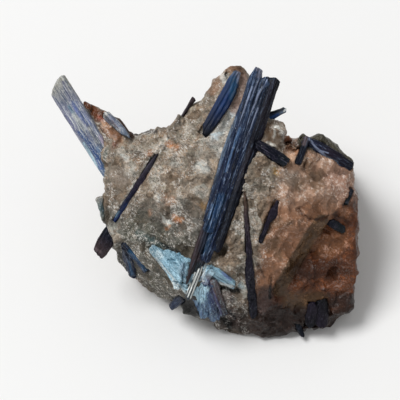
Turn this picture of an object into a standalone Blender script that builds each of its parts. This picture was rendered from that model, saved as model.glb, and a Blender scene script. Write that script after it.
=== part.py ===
"""Kyanite blades grown in a lump of quartz, about 120 mm wide, resting on a flat cut base.

Layout positions are (x, y, z) in millimetres on the specimen's show face: x to the right, y up
along the face and z out of it. They are sighted from VIEW_DISTANCE straight in front of the
face, so what stands nearer to the eye is drawn in by its height. The whole is then leaned back
by FACE_LEAN and set down on its base.
"""

import math
import random

import bmesh
import bpy
import numpy as np
from mathutils import Matrix, Vector, noise
from mathutils.bvhtree import BVHTree

MM = 0.001
VIEW_DISTANCE = 800.0
FACE_LEAN = math.radians(30.0)
BASE_DROP = 35.0
CUT_ALLOWANCE = 4.0
RIGHT_END = 62.0

ROCK_VOXEL = 1.5
ROCK_TRIANGLES = 4400
FACET_SIZE = 7.0
FACET_DEPTH = 1.3
GRAIN_SIZE = 2.6
GRAIN_DEPTH = 0.45
FACET_SEED = 3.1
GRAIN_SEED = 8.7
TILT_SCATTER = 37.0
SOCKET_GAP = 0.3
SKIN = 0.4

BLADE_SECTION = (
    (-0.50, 0.06),
    (-0.43, -0.34),
    (-0.22, -0.50),
    (-0.07, -0.38),
    (0.09, -0.47),
    (0.25, -0.33),
    (0.44, -0.30),
    (0.50, 0.04),
    (0.39, 0.46),
    (-0.37, 0.50),
)
SOCKET_SECTION = (
    (-0.51, 0.12),
    (-0.46, -0.40),
    (-0.24, -0.52),
    (0.34, -0.50),
    (0.52, -0.18),
    (0.43, 0.50),
    (-0.40, 0.52),
)
NEEDLES = (0.02, 0.01, 0.005, 0.002)

UP = Vector((0.0, math.sin(FACE_LEAN), math.cos(FACE_LEAN)))
TOWARDS_EYE = Vector((0.0, 0.0, 1.0))

QUARTZ_GREY = (0.36, 0.31, 0.27)
NAVY = (0.035, 0.055, 0.14)
PURPLE_BLACK = (0.045, 0.035, 0.07)
GREEN_BLACK = (0.03, 0.045, 0.05)
PALE_BLUE = (0.42, 0.58, 0.68)
LAVENDER_GREY = (0.40, 0.40, 0.48)


def place(x, y, z):
    """The point in millimetres that is seen at x, y and stands z above the face plane."""
    nearer = 1.0 - z / VIEW_DISTANCE
    return Vector((x * nearer, y * nearer, z))


def under(x, y):
    """A point just below the base plane, seen at x, y."""
    drop = BASE_DROP + CUT_ALLOWANCE
    return place(x, y, (-drop - y * UP.y) / UP.z)


def in_room(x, back, height):
    """A layout point from its place in the room: x, distance to the back, height over the base."""
    level = height - BASE_DROP
    return Vector((x, back * UP.z + level * UP.y, level * UP.z - back * UP.y))


def new_object(name, mesh):
    made = bpy.data.objects.new(name, mesh)
    bpy.context.scene.collection.objects.link(made)
    return made


def remove_object(unwanted):
    mesh = unwanted.data
    bpy.data.objects.remove(unwanted, do_unlink=True)
    bpy.data.meshes.remove(mesh)


def make_material(name, colour, roughness):
    """A plain opaque mineral surface."""
    material = bpy.data.materials.new(name)
    material.use_nodes = True
    surface = material.node_tree.nodes["Principled BSDF"]
    surface.inputs["Base Color"].default_value = (*colour, 1.0)
    surface.inputs["Roughness"].default_value = roughness
    surface.inputs["Metallic"].default_value = 0.0
    return material


def hull(points):
    """A closed convex chunk around the points, in millimetres."""
    chunk = bmesh.new()
    for point in points:
        chunk.verts.new(point)
    found = bmesh.ops.convex_hull(chunk, input=chunk.verts)
    spare = [item for item in found["geom_interior"] if isinstance(item, bmesh.types.BMVert)]
    bmesh.ops.delete(chunk, geom=spare, context="VERTS")
    bmesh.ops.recalc_face_normals(chunk, faces=chunk.faces)
    return chunk


def chunk_of(front, feet):
    """A chunk whose corners on the show face are front and whose feet stand on the base."""
    corners = [place(*corner) for corner in front]
    corners += [under(*foot) for foot in feet]
    return hull(corners)


def left_face():
    front = (
        (-38.6, 9.0, 9.0), (-38.8, -6.0, 9.0), (-36.0, -12.5, 11.0), (-27.0, -15.5, 14.5),
        (-20.0, -20.0, 16.0), (-4.0, -37.0, 14.5), (2.0, -25.0, 19.5), (7.0, -16.0, 21.0),
        (14.0, 8.0, 22.5), (12.0, 20.0, 21.0), (0.0, 28.6, 16.5), (-12.0, 28.4, 10.0),
        (-20.0, 26.8, 8.5), (-27.5, 25.2, 7.5),
    )
    feet = ((-29.0, -22.0), (-31.0, 2.0), (-22.0, 16.0), (8.0, 18.0), (8.0, -40.0), (-6.0, -38.0))
    return chunk_of(front, feet)


def upper_face():
    front = (
        (-13.0, 27.8, 10.0), (-8.0, 31.8, 10.0), (-2.8, 37.6, 11.0), (2.0, 38.8, 12.5),
        (6.4, 43.6, 12.0), (9.0, 46.6, 12.0), (20.0, 48.0, 12.0), (27.0, 32.0, 15.0),
        (30.0, 22.0, 19.0), (22.0, 12.0, 22.0), (12.0, 9.0, 22.5), (0.0, 22.0, 18.0),
    )
    feet = ((-10.0, 14.0), (24.0, 20.0), (24.0, -20.0), (-4.0, -10.0))
    return chunk_of(front, feet)


def pink_face():
    front = (
        (30.0, 20.0, 18.0), (36.0, 20.6, 12.5), (42.0, 20.2, 12.0), (50.0, 19.0, 10.5),
        (61.0, 12.0, 7.5), (61.5, 0.0, 7.0), (56.0, -1.0, 7.5), (53.5, 0.6, 12.0),
        (45.0, 0.5, 17.0), (36.0, 0.0, 21.0), (39.0, -13.5, 17.0), (25.5, -32.0, 14.0),
        (44.0, -16.0, 8.0), (31.0, -34.0, 7.0), (26.0, 13.0, 22.0), (9.0, 12.0, 21.5),
        (5.0, -14.0, 20.5), (18.0, -20.0, 21.0),
    )
    feet = ((52.0, 17.0), (20.0, 19.0), (16.0, -34.0), (24.0, -34.0), (50.0, 0.0))
    return chunk_of(front, feet)


def upper_right_cap():
    """The dark cap behind the wide blade at the upper right."""
    front = (
        (42.0, 20.0, 11.0), (43.6, 25.2, 8.0), (48.0, 26.2, 7.5), (51.4, 23.6, 7.0),
        (55.8, 18.0, 7.0), (60.6, 15.6, 6.0), (61.0, 8.0, 7.5), (42.0, 12.0, 12.5),
    )
    feet = ((44.0, 16.0), (59.0, 12.0), (44.0, 4.0), (59.0, 0.0))
    return chunk_of(front, feet)


def rusty_face():
    """The lower face at the right, past the step along the straight dark band."""
    front = (
        (RIGHT_END, 1.0, 6.0), (56.0, 0.0, 6.5), (45.0, -15.0, 7.5), (31.0, -33.0, 6.5),
        (28.0, -41.0, 3.0), (30.0, -53.2, -5.0), (40.0, -51.6, -5.0), (48.0, -51.2, -5.0),
        (55.4, -46.2, -3.0), (61.0, -42.4, -1.0), (62.5, -24.0, 4.0),
    )
    feet = ((26.0, -53.0), (40.0, -49.5), (58.0, -42.0), (60.0, 10.0), (30.0, 10.0))
    return chunk_of(front, feet)


def bottom_face():
    front = (
        (1.0, -25.0, 19.5), (14.0, -23.0, 21.5), (21.0, -20.0, 21.0), (29.0, -33.0, 12.0),
        (31.0, -45.0, 1.0), (29.0, -53.6, -5.0), (24.0, -54.0, -6.0), (17.0, -52.8, -6.0),
        (9.0, -50.2, -5.0), (0.0, -47.2, -3.0), (-5.0, -43.0, 2.0), (-4.0, -37.5, 13.5),
    )
    feet = ((-4.0, -43.0), (10.0, -50.0), (26.0, -53.0), (34.0, -20.0), (0.0, -10.0))
    return chunk_of(front, feet)


def lower_left_flank():
    front = (
        (-36.2, -13.0, 9.0), (-35.4, -15.2, 4.0), (-32.6, -18.2, 1.0), (-31.4, -24.4, -4.0),
        (-25.2, -30.8, -7.0), (-17.0, -38.0, -10.0), (-8.0, -40.4, -8.0), (-4.0, -42.0, -4.0),
        (-4.0, -37.5, 13.5), (-20.0, -20.0, 15.5), (-30.0, -14.0, 13.5),
    )
    feet = ((-29.0, -25.0), (-21.0, -34.2), (-8.0, -40.0), (0.0, -20.0), (-24.0, -8.0))
    return chunk_of(front, feet)


def back_left_wall():
    front = (
        (-26.0, 21.5, 0.0), (-10.0, 25.0, 2.0), (10.0, 41.5, 4.0), (19.0, 45.5, 4.0),
        (24.0, 30.0, 4.0),
    )
    corners = [place(*corner) for corner in front]
    corners += [in_room(-22.0, 40.0, 14.0), in_room(8.0, 46.0, 22.0), in_room(24.0, 44.0, 12.0)]
    corners += [in_room(-24.0, 32.0, -5.0), in_room(6.0, 42.0, -5.0), in_room(26.0, 36.0, -5.0)]
    corners += [in_room(-20.0, 0.0, -5.0), in_room(26.0, 0.0, -5.0)]
    return hull(corners)


def back_right_wall():
    front = ((22.0, 20.5, 6.0), (37.0, 20.0, 5.0), (47.0, 20.5, 4.0), (59.5, 11.5, 2.0))
    corners = [place(*corner) for corner in front]
    corners += [in_room(20.0, 40.0, 20.0), in_room(40.0, 42.0, 11.0), in_room(57.0, 34.0, 18.0)]
    corners += [in_room(20.0, 36.0, -5.0), in_room(44.0, 38.0, -5.0), in_room(58.0, 28.0, -5.0)]
    corners += [in_room(20.0, 0.0, -5.0), in_room(57.0, 0.0, -5.0)]
    return hull(corners)


def top_knob():
    """The rimmed knob at the top, between the upper blade and the bundle."""
    rim = (
        (8.6, 48.4, 9.0), (10.0, 51.8, 9.0), (12.6, 54.0, 9.0), (16.2, 53.4, 9.5),
        (20.2, 50.0, 10.0), (18.0, 42.0, 12.5), (8.0, 41.0, 12.0), (10.0, 46.0, 0.0),
        (16.0, 50.0, 0.0), (19.0, 42.0, -4.0), (7.0, 38.0, -4.0),
    )
    return hull([place(*corner) for corner in rim])


def knob_steps():
    """The two steps down the left side of the top knob."""
    steps = []
    for x, y, radius in ((7.4, 46.2, 2.9), (4.4, 41.8, 2.8), (17.8, 50.0, 2.4)):
        step = bmesh.new()
        seat = Matrix.Translation(place(x, y, 8.5))
        bmesh.ops.create_icosphere(step, subdivisions=1, radius=radius, matrix=seat)
        steps.append(step)
    return steps


def glassy_knob():
    """The rounded knob at the upper right, behind the bundle."""
    rim = (
        (27.4, 31.4, 12.0), (30.6, 31.6, 13.0), (33.4, 29.4, 13.5), (34.2, 25.6, 14.0),
        (33.6, 21.0, 17.0), (30.0, 17.5, 20.5), (26.0, 19.5, 20.5), (25.5, 27.0, 18.0),
        (29.5, 27.0, 18.5), (28.0, 29.0, 0.0), (33.0, 26.0, 0.0), (32.0, 18.0, 0.0),
        (24.0, 22.0, 0.0),
    )
    return hull([place(*corner) for corner in rim])


def rust_spur():
    """The thin spur that carries the pale blade at the upper left."""
    rim = (
        (-45.2, 39.0, 6.5), (-42.0, 37.2, 7.5), (-36.2, 34.8, 7.0), (-32.4, 31.8, 7.5),
        (-29.2, 27.6, 8.0), (-26.0, 24.6, 8.5), (-24.0, 12.0, 9.5), (-37.4, 12.0, 8.0),
        (-41.0, 28.0, 7.0), (-41.5, 34.5, 1.0), (-34.0, 29.0, -2.0), (-26.0, 22.0, -6.0),
        (-34.0, 8.0, -6.0),
    )
    return hull([place(*corner) for corner in rim])


def cap_knobs():
    """The small dark caps beside the blades at the upper right."""
    caps = []
    for x, y, z, radius in ((40.9, 24.2, 9.0, 2.5), (47.6, 24.4, 8.0, 2.6), (36.6, 21.6, 10.0, 2.0)):
        cap = bmesh.new()
        seat = Matrix.Translation(place(x, y, z))
        bmesh.ops.create_icosphere(cap, subdivisions=1, radius=radius, matrix=seat)
        caps.append(cap)
    return caps


def foot_boulder():
    """The dark lump on the lower outline, below the foot of the bundle."""
    boulder = bmesh.new()
    seat = Matrix.Translation(place(-3.4, -42.4, 1.0))
    bmesh.ops.create_icosphere(boulder, subdivisions=1, radius=4.6, matrix=seat)
    return boulder


def rough_lump():
    """All chunks of the lump in one mesh, overlapping, before they are fused."""
    chunks = [left_face(), upper_face(), pink_face(), upper_right_cap(), rusty_face()]
    chunks += [bottom_face(), lower_left_flank(), back_left_wall(), back_right_wall()]
    chunks += [top_knob(), glassy_knob(), rust_spur(), foot_boulder()]
    chunks += [*knob_steps(), *cap_knobs()]
    joined = bmesh.new()
    for chunk in chunks:
        piece = bpy.data.meshes.new("chunk")
        chunk.to_mesh(piece)
        chunk.free()
        joined.from_mesh(piece)
        bpy.data.meshes.remove(piece)
    mesh = bpy.data.meshes.new("lump")
    joined.to_mesh(mesh)
    joined.free()
    return mesh


def apply_modifiers(thing):
    """Puts the mesh with its modifiers in place of the object's own mesh."""
    bpy.context.view_layer.update()
    seen = thing.evaluated_get(bpy.context.evaluated_depsgraph_get())
    finished = bpy.data.meshes.new_from_object(seen)
    thing.modifiers.clear()
    before = thing.data
    thing.data = finished
    bpy.data.meshes.remove(before)


def facet_height(point, size, seed):
    """Tilted planes over random cells, as a fractured mineral has, from about -0.5 to 0.5."""
    spot = point / size + Vector((seed, -seed, seed))
    cell = noise.voronoi(spot)[1][0]
    tilt = noise.cell_vector(cell * TILT_SCATTER) - Vector((0.5, 0.5, 0.5))
    return (spot - cell).dot(tilt)


def fracture(mesh):
    """Breaks the smooth lump into facets and coarse grains."""
    normals = [vertex.normal.copy() for vertex in mesh.vertices]
    for vertex, normal in zip(mesh.vertices, normals):
        point = vertex.co.copy()
        shift = SKIN + FACET_DEPTH * facet_height(point, FACET_SIZE, FACET_SEED)
        shift += GRAIN_DEPTH * facet_height(point, GRAIN_SIZE, GRAIN_SEED)
        vertex.co = point + normal * shift


def cut_base(mesh):
    """Saws the lump off flat on the base plane."""
    lump = bmesh.new()
    lump.from_mesh(mesh)
    geometry = [*lump.verts, *lump.edges, *lump.faces]
    cut = bmesh.ops.bisect_plane(
        lump, geom=geometry, dist=1e-5, plane_co=UP * -BASE_DROP, plane_no=UP, clear_inner=True
    )
    rim = [item for item in cut["geom_cut"] if isinstance(item, bmesh.types.BMEdge)]
    bmesh.ops.contextual_create(lump, geom=rim)
    bmesh.ops.triangulate(lump, faces=lump.faces)
    bmesh.ops.recalc_face_normals(lump, faces=lump.faces)
    lump.to_mesh(mesh)
    lump.free()


def make_lump():
    """The quartz lump in millimetres, fused, fractured and sawn, without its blade sockets."""
    lump = new_object("quartz_matrix", rough_lump())
    fuse = lump.modifiers.new("fuse", "REMESH")
    fuse.mode = "VOXEL"
    fuse.voxel_size = ROCK_VOXEL
    apply_modifiers(lump)
    fracture(lump.data)
    thin = lump.modifiers.new("thin", "DECIMATE")
    thin.ratio = ROCK_TRIANGLES / (2.0 * len(lump.data.polygons))
    apply_modifiers(lump)
    cut_base(lump.data)
    return lump


class Ground:
    """Finds the lump's surface under a sighted position."""

    def __init__(self, mesh):
        shape = bmesh.new()
        shape.from_mesh(mesh)
        self.tree = BVHTree.FromBMesh(shape)
        shape.free()

    def hit(self, x, y):
        eye = Vector((0.0, 0.0, VIEW_DISTANCE))
        found = self.tree.ray_cast(eye, Vector((x, y, -VIEW_DISTANCE)).normalized())
        return found[0], found[1]

    def on(self, x, y, lift=0.0):
        """The layout point seen at x, y that stands lift above the surface."""
        point = self.hit(x, y)[0]
        return place(x, y, point.z + lift)

    def facing(self, *spots):
        """The mean direction in which the surface faces at the sighted positions."""
        total = Vector()
        for x, y in spots:
            total += self.hit(x, y)[1]
        return total.normalized()

    def sheet(self, spots, outline, lift):
        """Layout points at the outline's sighted positions, on one plane laid over the spots."""
        normal = self.facing(*spots)
        middle = sum((self.hit(x, y)[0] for x, y in spots), Vector()) / len(spots)
        middle += normal * lift
        eye = Vector((0.0, 0.0, VIEW_DISTANCE))
        points = []
        for x, y in outline:
            sight = Vector((x, y, -VIEW_DISTANCE))
            points.append(eye + sight * ((middle - eye).dot(normal) / sight.dot(normal)))
        return points, normal


class Lamella:
    """One lamella along a path from foot to tip, with its broad front turned to facing.

    A path of two points is straight and its widths are spread evenly along it. A longer path
    has one width for each of its points. lean -1 keeps the left edge straight, 1 the right one.
    slant moves the tip's right corner on along the lamella, and jag breaks the end.
    """

    def __init__(self, path, widths, thick, seed, facing=TOWARDS_EYE, roll=0.0, lean=0.0,
                 slant=0.0, foot_slant=0.0, jag=0.5):
        self.path = path
        self.widths = widths
        self.thick = thick
        self.seed = seed
        self.facing = facing
        self.roll = math.radians(roll)
        self.lean = lean
        self.slant = slant
        self.foot_slant = foot_slant
        self.jag = jag

    def seat(self):
        """Its own axes: X to its right, Y into the rock and Z from foot to tip."""
        axis = (self.path[-1] - self.path[0]).normalized()
        front = (self.facing - axis * self.facing.dot(axis)).normalized()
        front = Matrix.Rotation(self.roll, 3, axis) @ front
        right = axis.cross(front)
        turn = Matrix((right, -front, axis)).transposed()
        return Matrix.Translation(self.path[0]) @ turn.to_4x4()

    def stations(self):
        """The section's middle and width at each station, in the lamella's own axes."""
        own = self.seat().inverted()
        points = [own @ point for point in self.path]
        if len(points) == 2:
            count = len(self.widths) - 1
            points = [points[0].lerp(points[1], step / count) for step in range(count + 1)]
        broad = max(self.widths)
        for point, width in zip(points, self.widths):
            shift = Vector((self.lean * (broad - width) / 2.0, 0.0, 0.0))
            yield point + shift, width

    def along(self, x, last, dice):
        """How far the end at x is moved along the lamella by its slant and its breaks."""
        broad = max(self.widths)
        if last:
            return self.slant * x / broad + self.jag * dice.uniform(-1.0, 1.0)
        return self.foot_slant * x / broad

    def solid(self):
        """The closed lamella as a bmesh in its own axes."""
        dice = random.Random(self.seed)
        rings = []
        for middle, width in self.stations():
            rings.append([middle + Vector((x * width, y * self.thick, 0.0)) for x, y in BLADE_SECTION])
        for corner in rings[0]:
            corner.z += self.along(corner.x, False, dice)
        for corner in rings[-1]:
            corner.z += self.along(corner.x, True, dice)
        return bridge(rings)

    def socket(self):
        """The closed hollow that leaves SOCKET_GAP around the lamella."""
        rings = []
        for middle, width in self.stations():
            across = width + 2.0 * SOCKET_GAP
            deep = self.thick + 2.0 * SOCKET_GAP
            rings.append([middle + Vector((x * across, y * deep, 0.0)) for x, y in SOCKET_SECTION])
        for corner in rings[0]:
            corner.z += self.foot_slant * corner.x / max(self.widths) - SOCKET_GAP
        for corner in rings[-1]:
            corner.z += self.slant * corner.x / max(self.widths) + self.jag + SOCKET_GAP
        return bridge(rings)


def bridge(rings):
    """A closed bmesh of flat triangles through rings of points, with a fan over each end."""
    shape = bmesh.new()
    loops = [[shape.verts.new(point) for point in ring] for ring in rings]
    sides = len(rings[0])
    for lower, upper in zip(loops, loops[1:]):
        for k in range(sides):
            after = (k + 1) % sides
            shape.faces.new((lower[k], lower[after], upper[after], upper[k]))
    for loop in (loops[0], loops[-1]):
        hub = shape.verts.new(sum((vertex.co for vertex in loop), Vector()) / sides)
        for k in range(sides):
            shape.faces.new((loop[k], loop[(k + 1) % sides], hub))
    bmesh.ops.triangulate(shape, faces=shape.faces)
    bmesh.ops.recalc_face_normals(shape, faces=shape.faces)
    return shape


def object_from(shape, name, matrix):
    """An object from a bmesh whose points are first moved by matrix."""
    shape.transform(matrix)
    mesh = bpy.data.meshes.new(name)
    shape.to_mesh(mesh)
    shape.free()
    return new_object(name, mesh)


def combine(target, tools, operation):
    """Unites target with the tools or cuts it by them, and removes the tools."""
    for tool in tools:
        step = target.modifiers.new(operation.lower(), "BOOLEAN")
        step.operation = operation
        step.solver = "EXACT"
        step.object = tool
        apply_modifiers(target)
        remove_object(tool)
    tidy(target.data)


def tidy(mesh):
    """Merges needle-thin leftovers of a cut, the widest ones that leave the mesh closed."""
    for needle in NEEDLES:
        shape = bmesh.new()
        shape.from_mesh(mesh)
        bmesh.ops.dissolve_degenerate(shape, edges=shape.edges, dist=needle)
        bmesh.ops.triangulate(shape, faces=shape.faces)
        closed = all(edge.is_manifold for edge in shape.edges)
        if closed:
            shape.to_mesh(mesh)
        shape.free()
        if closed:
            break


def drop_chips(mesh):
    """Keeps only the largest connected body of the mesh."""
    shape = bmesh.new()
    shape.from_mesh(mesh)
    left = set(shape.verts)
    bodies = []
    while left:
        front = [left.pop()]
        body = set(front)
        while front:
            vertex = front.pop()
            for edge in vertex.link_edges:
                other = edge.other_vert(vertex)
                if other in left:
                    left.remove(other)
                    body.add(other)
                    front.append(other)
        bodies.append(body)
    bodies.sort(key=len)
    chips = [vertex for body in bodies[:-1] for vertex in body]
    bmesh.ops.delete(shape, geom=chips, context="VERTS")
    shape.to_mesh(mesh)
    shape.free()


def make_blade(name, lamellae, material):
    """One blade or a bundle of lamellae united in one solid, placed by its first lamella."""
    home = lamellae[0].seat()
    blade = object_from(lamellae[0].solid(), name, Matrix.Identity(4))
    others = []
    for lamella in lamellae[1:]:
        others.append(object_from(lamella.solid(), name + "_tool", home.inverted() @ lamella.seat()))
    combine(blade, others, "UNION")
    blade.data.materials.clear()
    blade.data.materials.append(material)
    return blade, home


def cut_sockets(lump, blades):
    """Cuts a socket with a small gap around every lamella that is sunk in the lump."""
    for lamellae in blades.values():
        tools = [object_from(lamella.socket(), "socket", lamella.seat()) for lamella in lamellae]
        combine(lump, tools, "DIFFERENCE")
    drop_chips(lump.data)


def left_pale_blade(ground):
    path = (place(-32.0, 6.4, 3.5), place(-57.0, 46.2, 11.0))
    return [Lamella(path, (8.0, 8.6, 8.9, 8.7), thick=3.2, seed=4, roll=-10.0, slant=4.4, jag=0.3)]


def spur_blade(ground):
    path = (ground.on(-26.5, 23.6, 0.2), ground.on(-37.6, 34.2, 0.6))
    return [Lamella(path, (2.4, 3.4, 3.2), thick=2.4, seed=7, slant=1.0)]


def slanting_blade(ground):
    """Seen on edge across the left face. Its broad end comes out at the lower left."""
    path = (
        ground.on(-34.4, -8.8, -0.5), ground.on(-26.0, 4.4, -0.4), ground.on(-21.0, 12.4, -0.4),
        ground.on(-17.4, 18.4, -0.6), ground.on(-15.6, 21.2, -1.4), ground.on(-8.6, 31.2, -0.9),
        place(-2.4, 40.6, 12.2),
    )
    thin = Lamella(path, (2.0, 1.7, 2.4, 1.9, 1.0, 1.2, 2.0), thick=3.2, seed=3, jag=0.3)
    stub_path = (place(-33.6, -7.6, 9.0), place(-40.8, -22.0, 3.6))
    stub = Lamella(stub_path, (4.4, 5.6, 5.4, 4.6), thick=3.4, seed=8, roll=15.0, slant=-1.6)
    return [thin, stub]


def upper_blade(ground):
    path = (ground.on(1.8, 25.6, 0.0), place(16.0, 50.6, 14.4))
    return [Lamella(path, (4.2, 5.4, 6.0, 5.6, 3.2), thick=3.2, seed=9, lean=-1.0, roll=-8.0, slant=-1.2)]


def main_bundle(ground):
    """Parallel lamellae of unequal length, the brown blade beside them and the white foot."""
    left_path = (place(3.6, -13.0, 22.0), place(23.2, 52.4, 19.2))
    edge_path = (place(2.4, -9.0, 21.6), place(17.6, 38.0, 18.8))
    middle_path = (place(2.0, -24.6, 21.4), place(26.6, 48.4, 19.0))
    right_path = (place(6.0, -20.0, 20.6), place(29.2, 48.4, 17.6))
    brown_path = (place(-5.0, -33.4, 17.2), place(4.6, -5.0, 21.8))
    foot_path = (place(-4.8, -39.2, 14.0), place(1.4, -22.0, 20.2))
    left = Lamella(left_path, (4.6, 5.0, 4.4), thick=5.6, seed=11, roll=-14.0, slant=0.6, jag=0.9)
    edge = Lamella(edge_path, (1.8, 4.0, 4.0, 1.6), thick=3.6, seed=12, roll=-28.0, jag=0.8)
    middle = Lamella(middle_path, (3.4, 5.0, 5.2, 4.6), thick=5.0, seed=13, roll=6.0, jag=0.9)
    right = Lamella(right_path, (3.2, 5.2, 6.0, 4.4), thick=6.4, seed=14, roll=34.0, slant=-1.0)
    brown = Lamella(brown_path, (1.8, 3.2, 2.6), thick=3.6, seed=15, roll=-12.0, jag=0.4)
    foot = Lamella(foot_path, (2.6, 2.8, 2.8), thick=3.2, seed=16)
    return [left, edge, middle, right, brown, foot]


def small_tip_blade(ground):
    path = (place(22.4, 30.6, 10.6), place(34.2, 36.2, 14.0))
    return [Lamella(path, (3.0, 3.0, 2.0), thick=2.4, seed=17, roll=20.0, slant=0.6)]


def cross_blade(ground):
    path = (ground.on(24.6, 21.2, 0.6), ground.on(34.4, 14.6, 0.9))
    facing = ground.facing((28.0, 19.0), (26.0, 20.0))
    return [Lamella(path, (4.0, 4.6, 4.2), thick=3.4, seed=18, facing=facing, slant=-0.8, jag=0.8)]


def right_top_blades(ground):
    wide_path = (ground.on(60.6, 13.0, 0.0), place(41.4, 24.4, 11.6))
    short_path = (ground.on(39.0, 14.2, 0.3), place(43.0, 25.0, 12.6))
    wide = Lamella(wide_path, (4.4, 5.4, 5.2, 3.4), thick=3.0, seed=19, jag=0.6, roll=10.0)
    short = Lamella(short_path, (2.2, 2.4, 2.2), thick=2.2, seed=20, jag=0.3)
    return [wide, short]


def right_middle_blade(ground):
    path = (ground.on(24.0, -17.0, 0.2), ground.on(30.8, -0.6, 0.2))
    facing = ground.facing((27.0, -9.0), (30.0, -2.0), (25.0, -15.0))
    return [Lamella(path, (1.8, 3.0, 2.8, 2.0), thick=2.2, seed=21, facing=facing, jag=0.7)]


def long_narrow_blade(ground):
    path = (
        ground.on(21.6, -46.6, 0.3), ground.on(20.5, -36.0, 0.4), ground.on(19.9, -28.0, 0.3),
        ground.on(19.5, -20.6, 0.2), ground.on(17.9, 2.6, -0.2),
    )
    return [Lamella(path, (2.6, 3.2, 3.0, 2.6, 1.3), thick=2.8, seed=22, jag=0.5)]


def right_black_blade(ground):
    path = (ground.on(57.6, -12.0, 0.1), ground.on(51.6, -8.6, 0.4))
    facing = ground.facing((52.0, -9.0), (56.0, -11.0))
    return [Lamella(path, (2.6, 3.4, 2.4), thick=2.2, seed=24, facing=facing, jag=0.7)]


def right_edge_blade(ground):
    path = (ground.on(58.2, -1.8, 0.0), ground.on(60.4, 4.2, 0.0))
    return [Lamella(path, (1.4, 1.8), thick=2.0, seed=25)]


def lower_left_blades(ground):
    facing = ground.facing((-29.0, -23.0), (-26.0, -24.0))
    inner_path = (ground.on(-30.6, -17.0, 0.0), ground.on(-21.4, -28.2, 0.4))
    outer_path = (ground.on(-30.0, -18.4, 0.0), place(-26.8, -30.2, -5.0))
    inner = Lamella(inner_path, (2.6, 3.2, 3.0), thick=2.4, seed=26, facing=facing, jag=0.6)
    outer = Lamella(outer_path, (3.0, 3.4, 2.6), thick=2.6, seed=27, facing=facing, jag=0.6)
    return [inner, outer]


def pale_plate(ground):
    """A flat sheet that lies on the ridge and widens towards the foot of the bundle."""
    spots = ((-17.0, -22.0), (-12.0, -24.0), (-9.0, -28.0), (-10.0, -31.0))
    middle_line = (
        (-17.4, -16.8), (-14.8, -20.0), (-13.0, -22.4), (-9.6, -27.2), (-7.0, -31.2), (-5.2, -35.0),
    )
    path, facing = ground.sheet(spots, middle_line, 0.2)
    return [Lamella(path, (2.6, 4.4, 7.4, 9.0, 4.4, 1.2), thick=2.2, seed=28, facing=facing, lean=1.0)]


def foot_fan(ground):
    """Pale to deep blue lamellae that spread from the foot of the bundle."""
    spread = (
        ((1.9, -33.6), (1.8, -40.0), (1.5, -46.2), 3.4, 30),
        ((3.4, -32.8), (4.7, -40.4), (5.8, -47.8), 3.4, 31),
        ((5.0, -31.4), (7.5, -39.0), (9.6, -45.8), 3.0, 32),
    )
    lamellae = []
    for head, bend, tip, width, seed in spread:
        path = (ground.on(*tip, 0.3), ground.on(*bend, 0.5), ground.on(*head, 0.2))
        facing = ground.facing(head, bend, tip)
        widths = (width, width * 1.1, width * 0.9)
        lamella = Lamella(path, widths, thick=2.8, seed=seed, facing=facing, foot_slant=0.8)
        lamellae.append(lamella)
    wing_path = (ground.on(5.0, -28.4, 0.2), ground.on(13.4, -33.8, 0.5))
    wing_facing = ground.facing((8.0, -30.0))
    wing = Lamella(wing_path, (2.4, 4.6, 3.4), thick=2.4, seed=33, facing=wing_facing, slant=1.6)
    prism_path = (ground.on(1.9, -33.0, 0.3), ground.on(4.6, -28.0, 0.4))
    prism = Lamella(prism_path, (2.2, 2.6), thick=2.4, seed=34)
    return [*lamellae, prism, wing]


def bottom_stub_blade(ground):
    path = (ground.on(-6.4, -38.4, -1.6), place(-11.4, -42.8, -4.0))
    return [Lamella(path, (3.0, 3.4, 2.8), thick=2.8, seed=35)]


def bottom_tip_blade(ground):
    path = (place(37.6, -46.0, -3.4), place(40.8, -54.2, -5.6))
    return [Lamella(path, (4.0, 3.0, 1.6), thick=2.6, seed=36)]


def bottom_right_bundle(ground):
    first_path = (ground.on(45.2, -40.8, -0.2), place(43.8, -50.6, -3.4))
    second_path = (ground.on(48.8, -39.6, -0.2), place(48.4, -51.0, -3.4))
    first = Lamella(first_path, (4.0, 4.6), thick=3.4, seed=37)
    second = Lamella(second_path, (4.4, 5.2), thick=3.8, seed=38)
    return [first, second]


def left_edge_blade(ground):
    path = (place(-38.4, -8.0, 7.6), place(-39.8, 1.4, 7.6))
    return [Lamella(path, (1.8, 2.4, 2.2), thick=3.4, seed=39)]


def back_blade(start, end, widths, thick, seed):
    """A blade on the unseen back, half sunk in the wall."""
    outwards = in_room(0.0, 1.0, 0.0) - in_room(0.0, 0.0, 0.0)
    return [Lamella((in_room(*start), in_room(*end)), widths, thick, seed, facing=outwards)]


def back_left_blade(ground):
    return back_blade((-15.0, 36.5, 9.0), (2.0, 44.0, 30.0), (3.6, 4.6, 4.0), thick=3.4, seed=40)


def back_middle_blade(ground):
    return back_blade((18.0, 41.5, 5.0), (13.0, 41.5, 44.0), (4.4, 5.4, 3.6), thick=4.0, seed=41)


def back_right_blade(ground):
    return back_blade((53.0, 34.4, 5.0), (42.0, 40.8, 9.5), (3.0, 3.8, 3.0), thick=3.0, seed=42)


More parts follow.
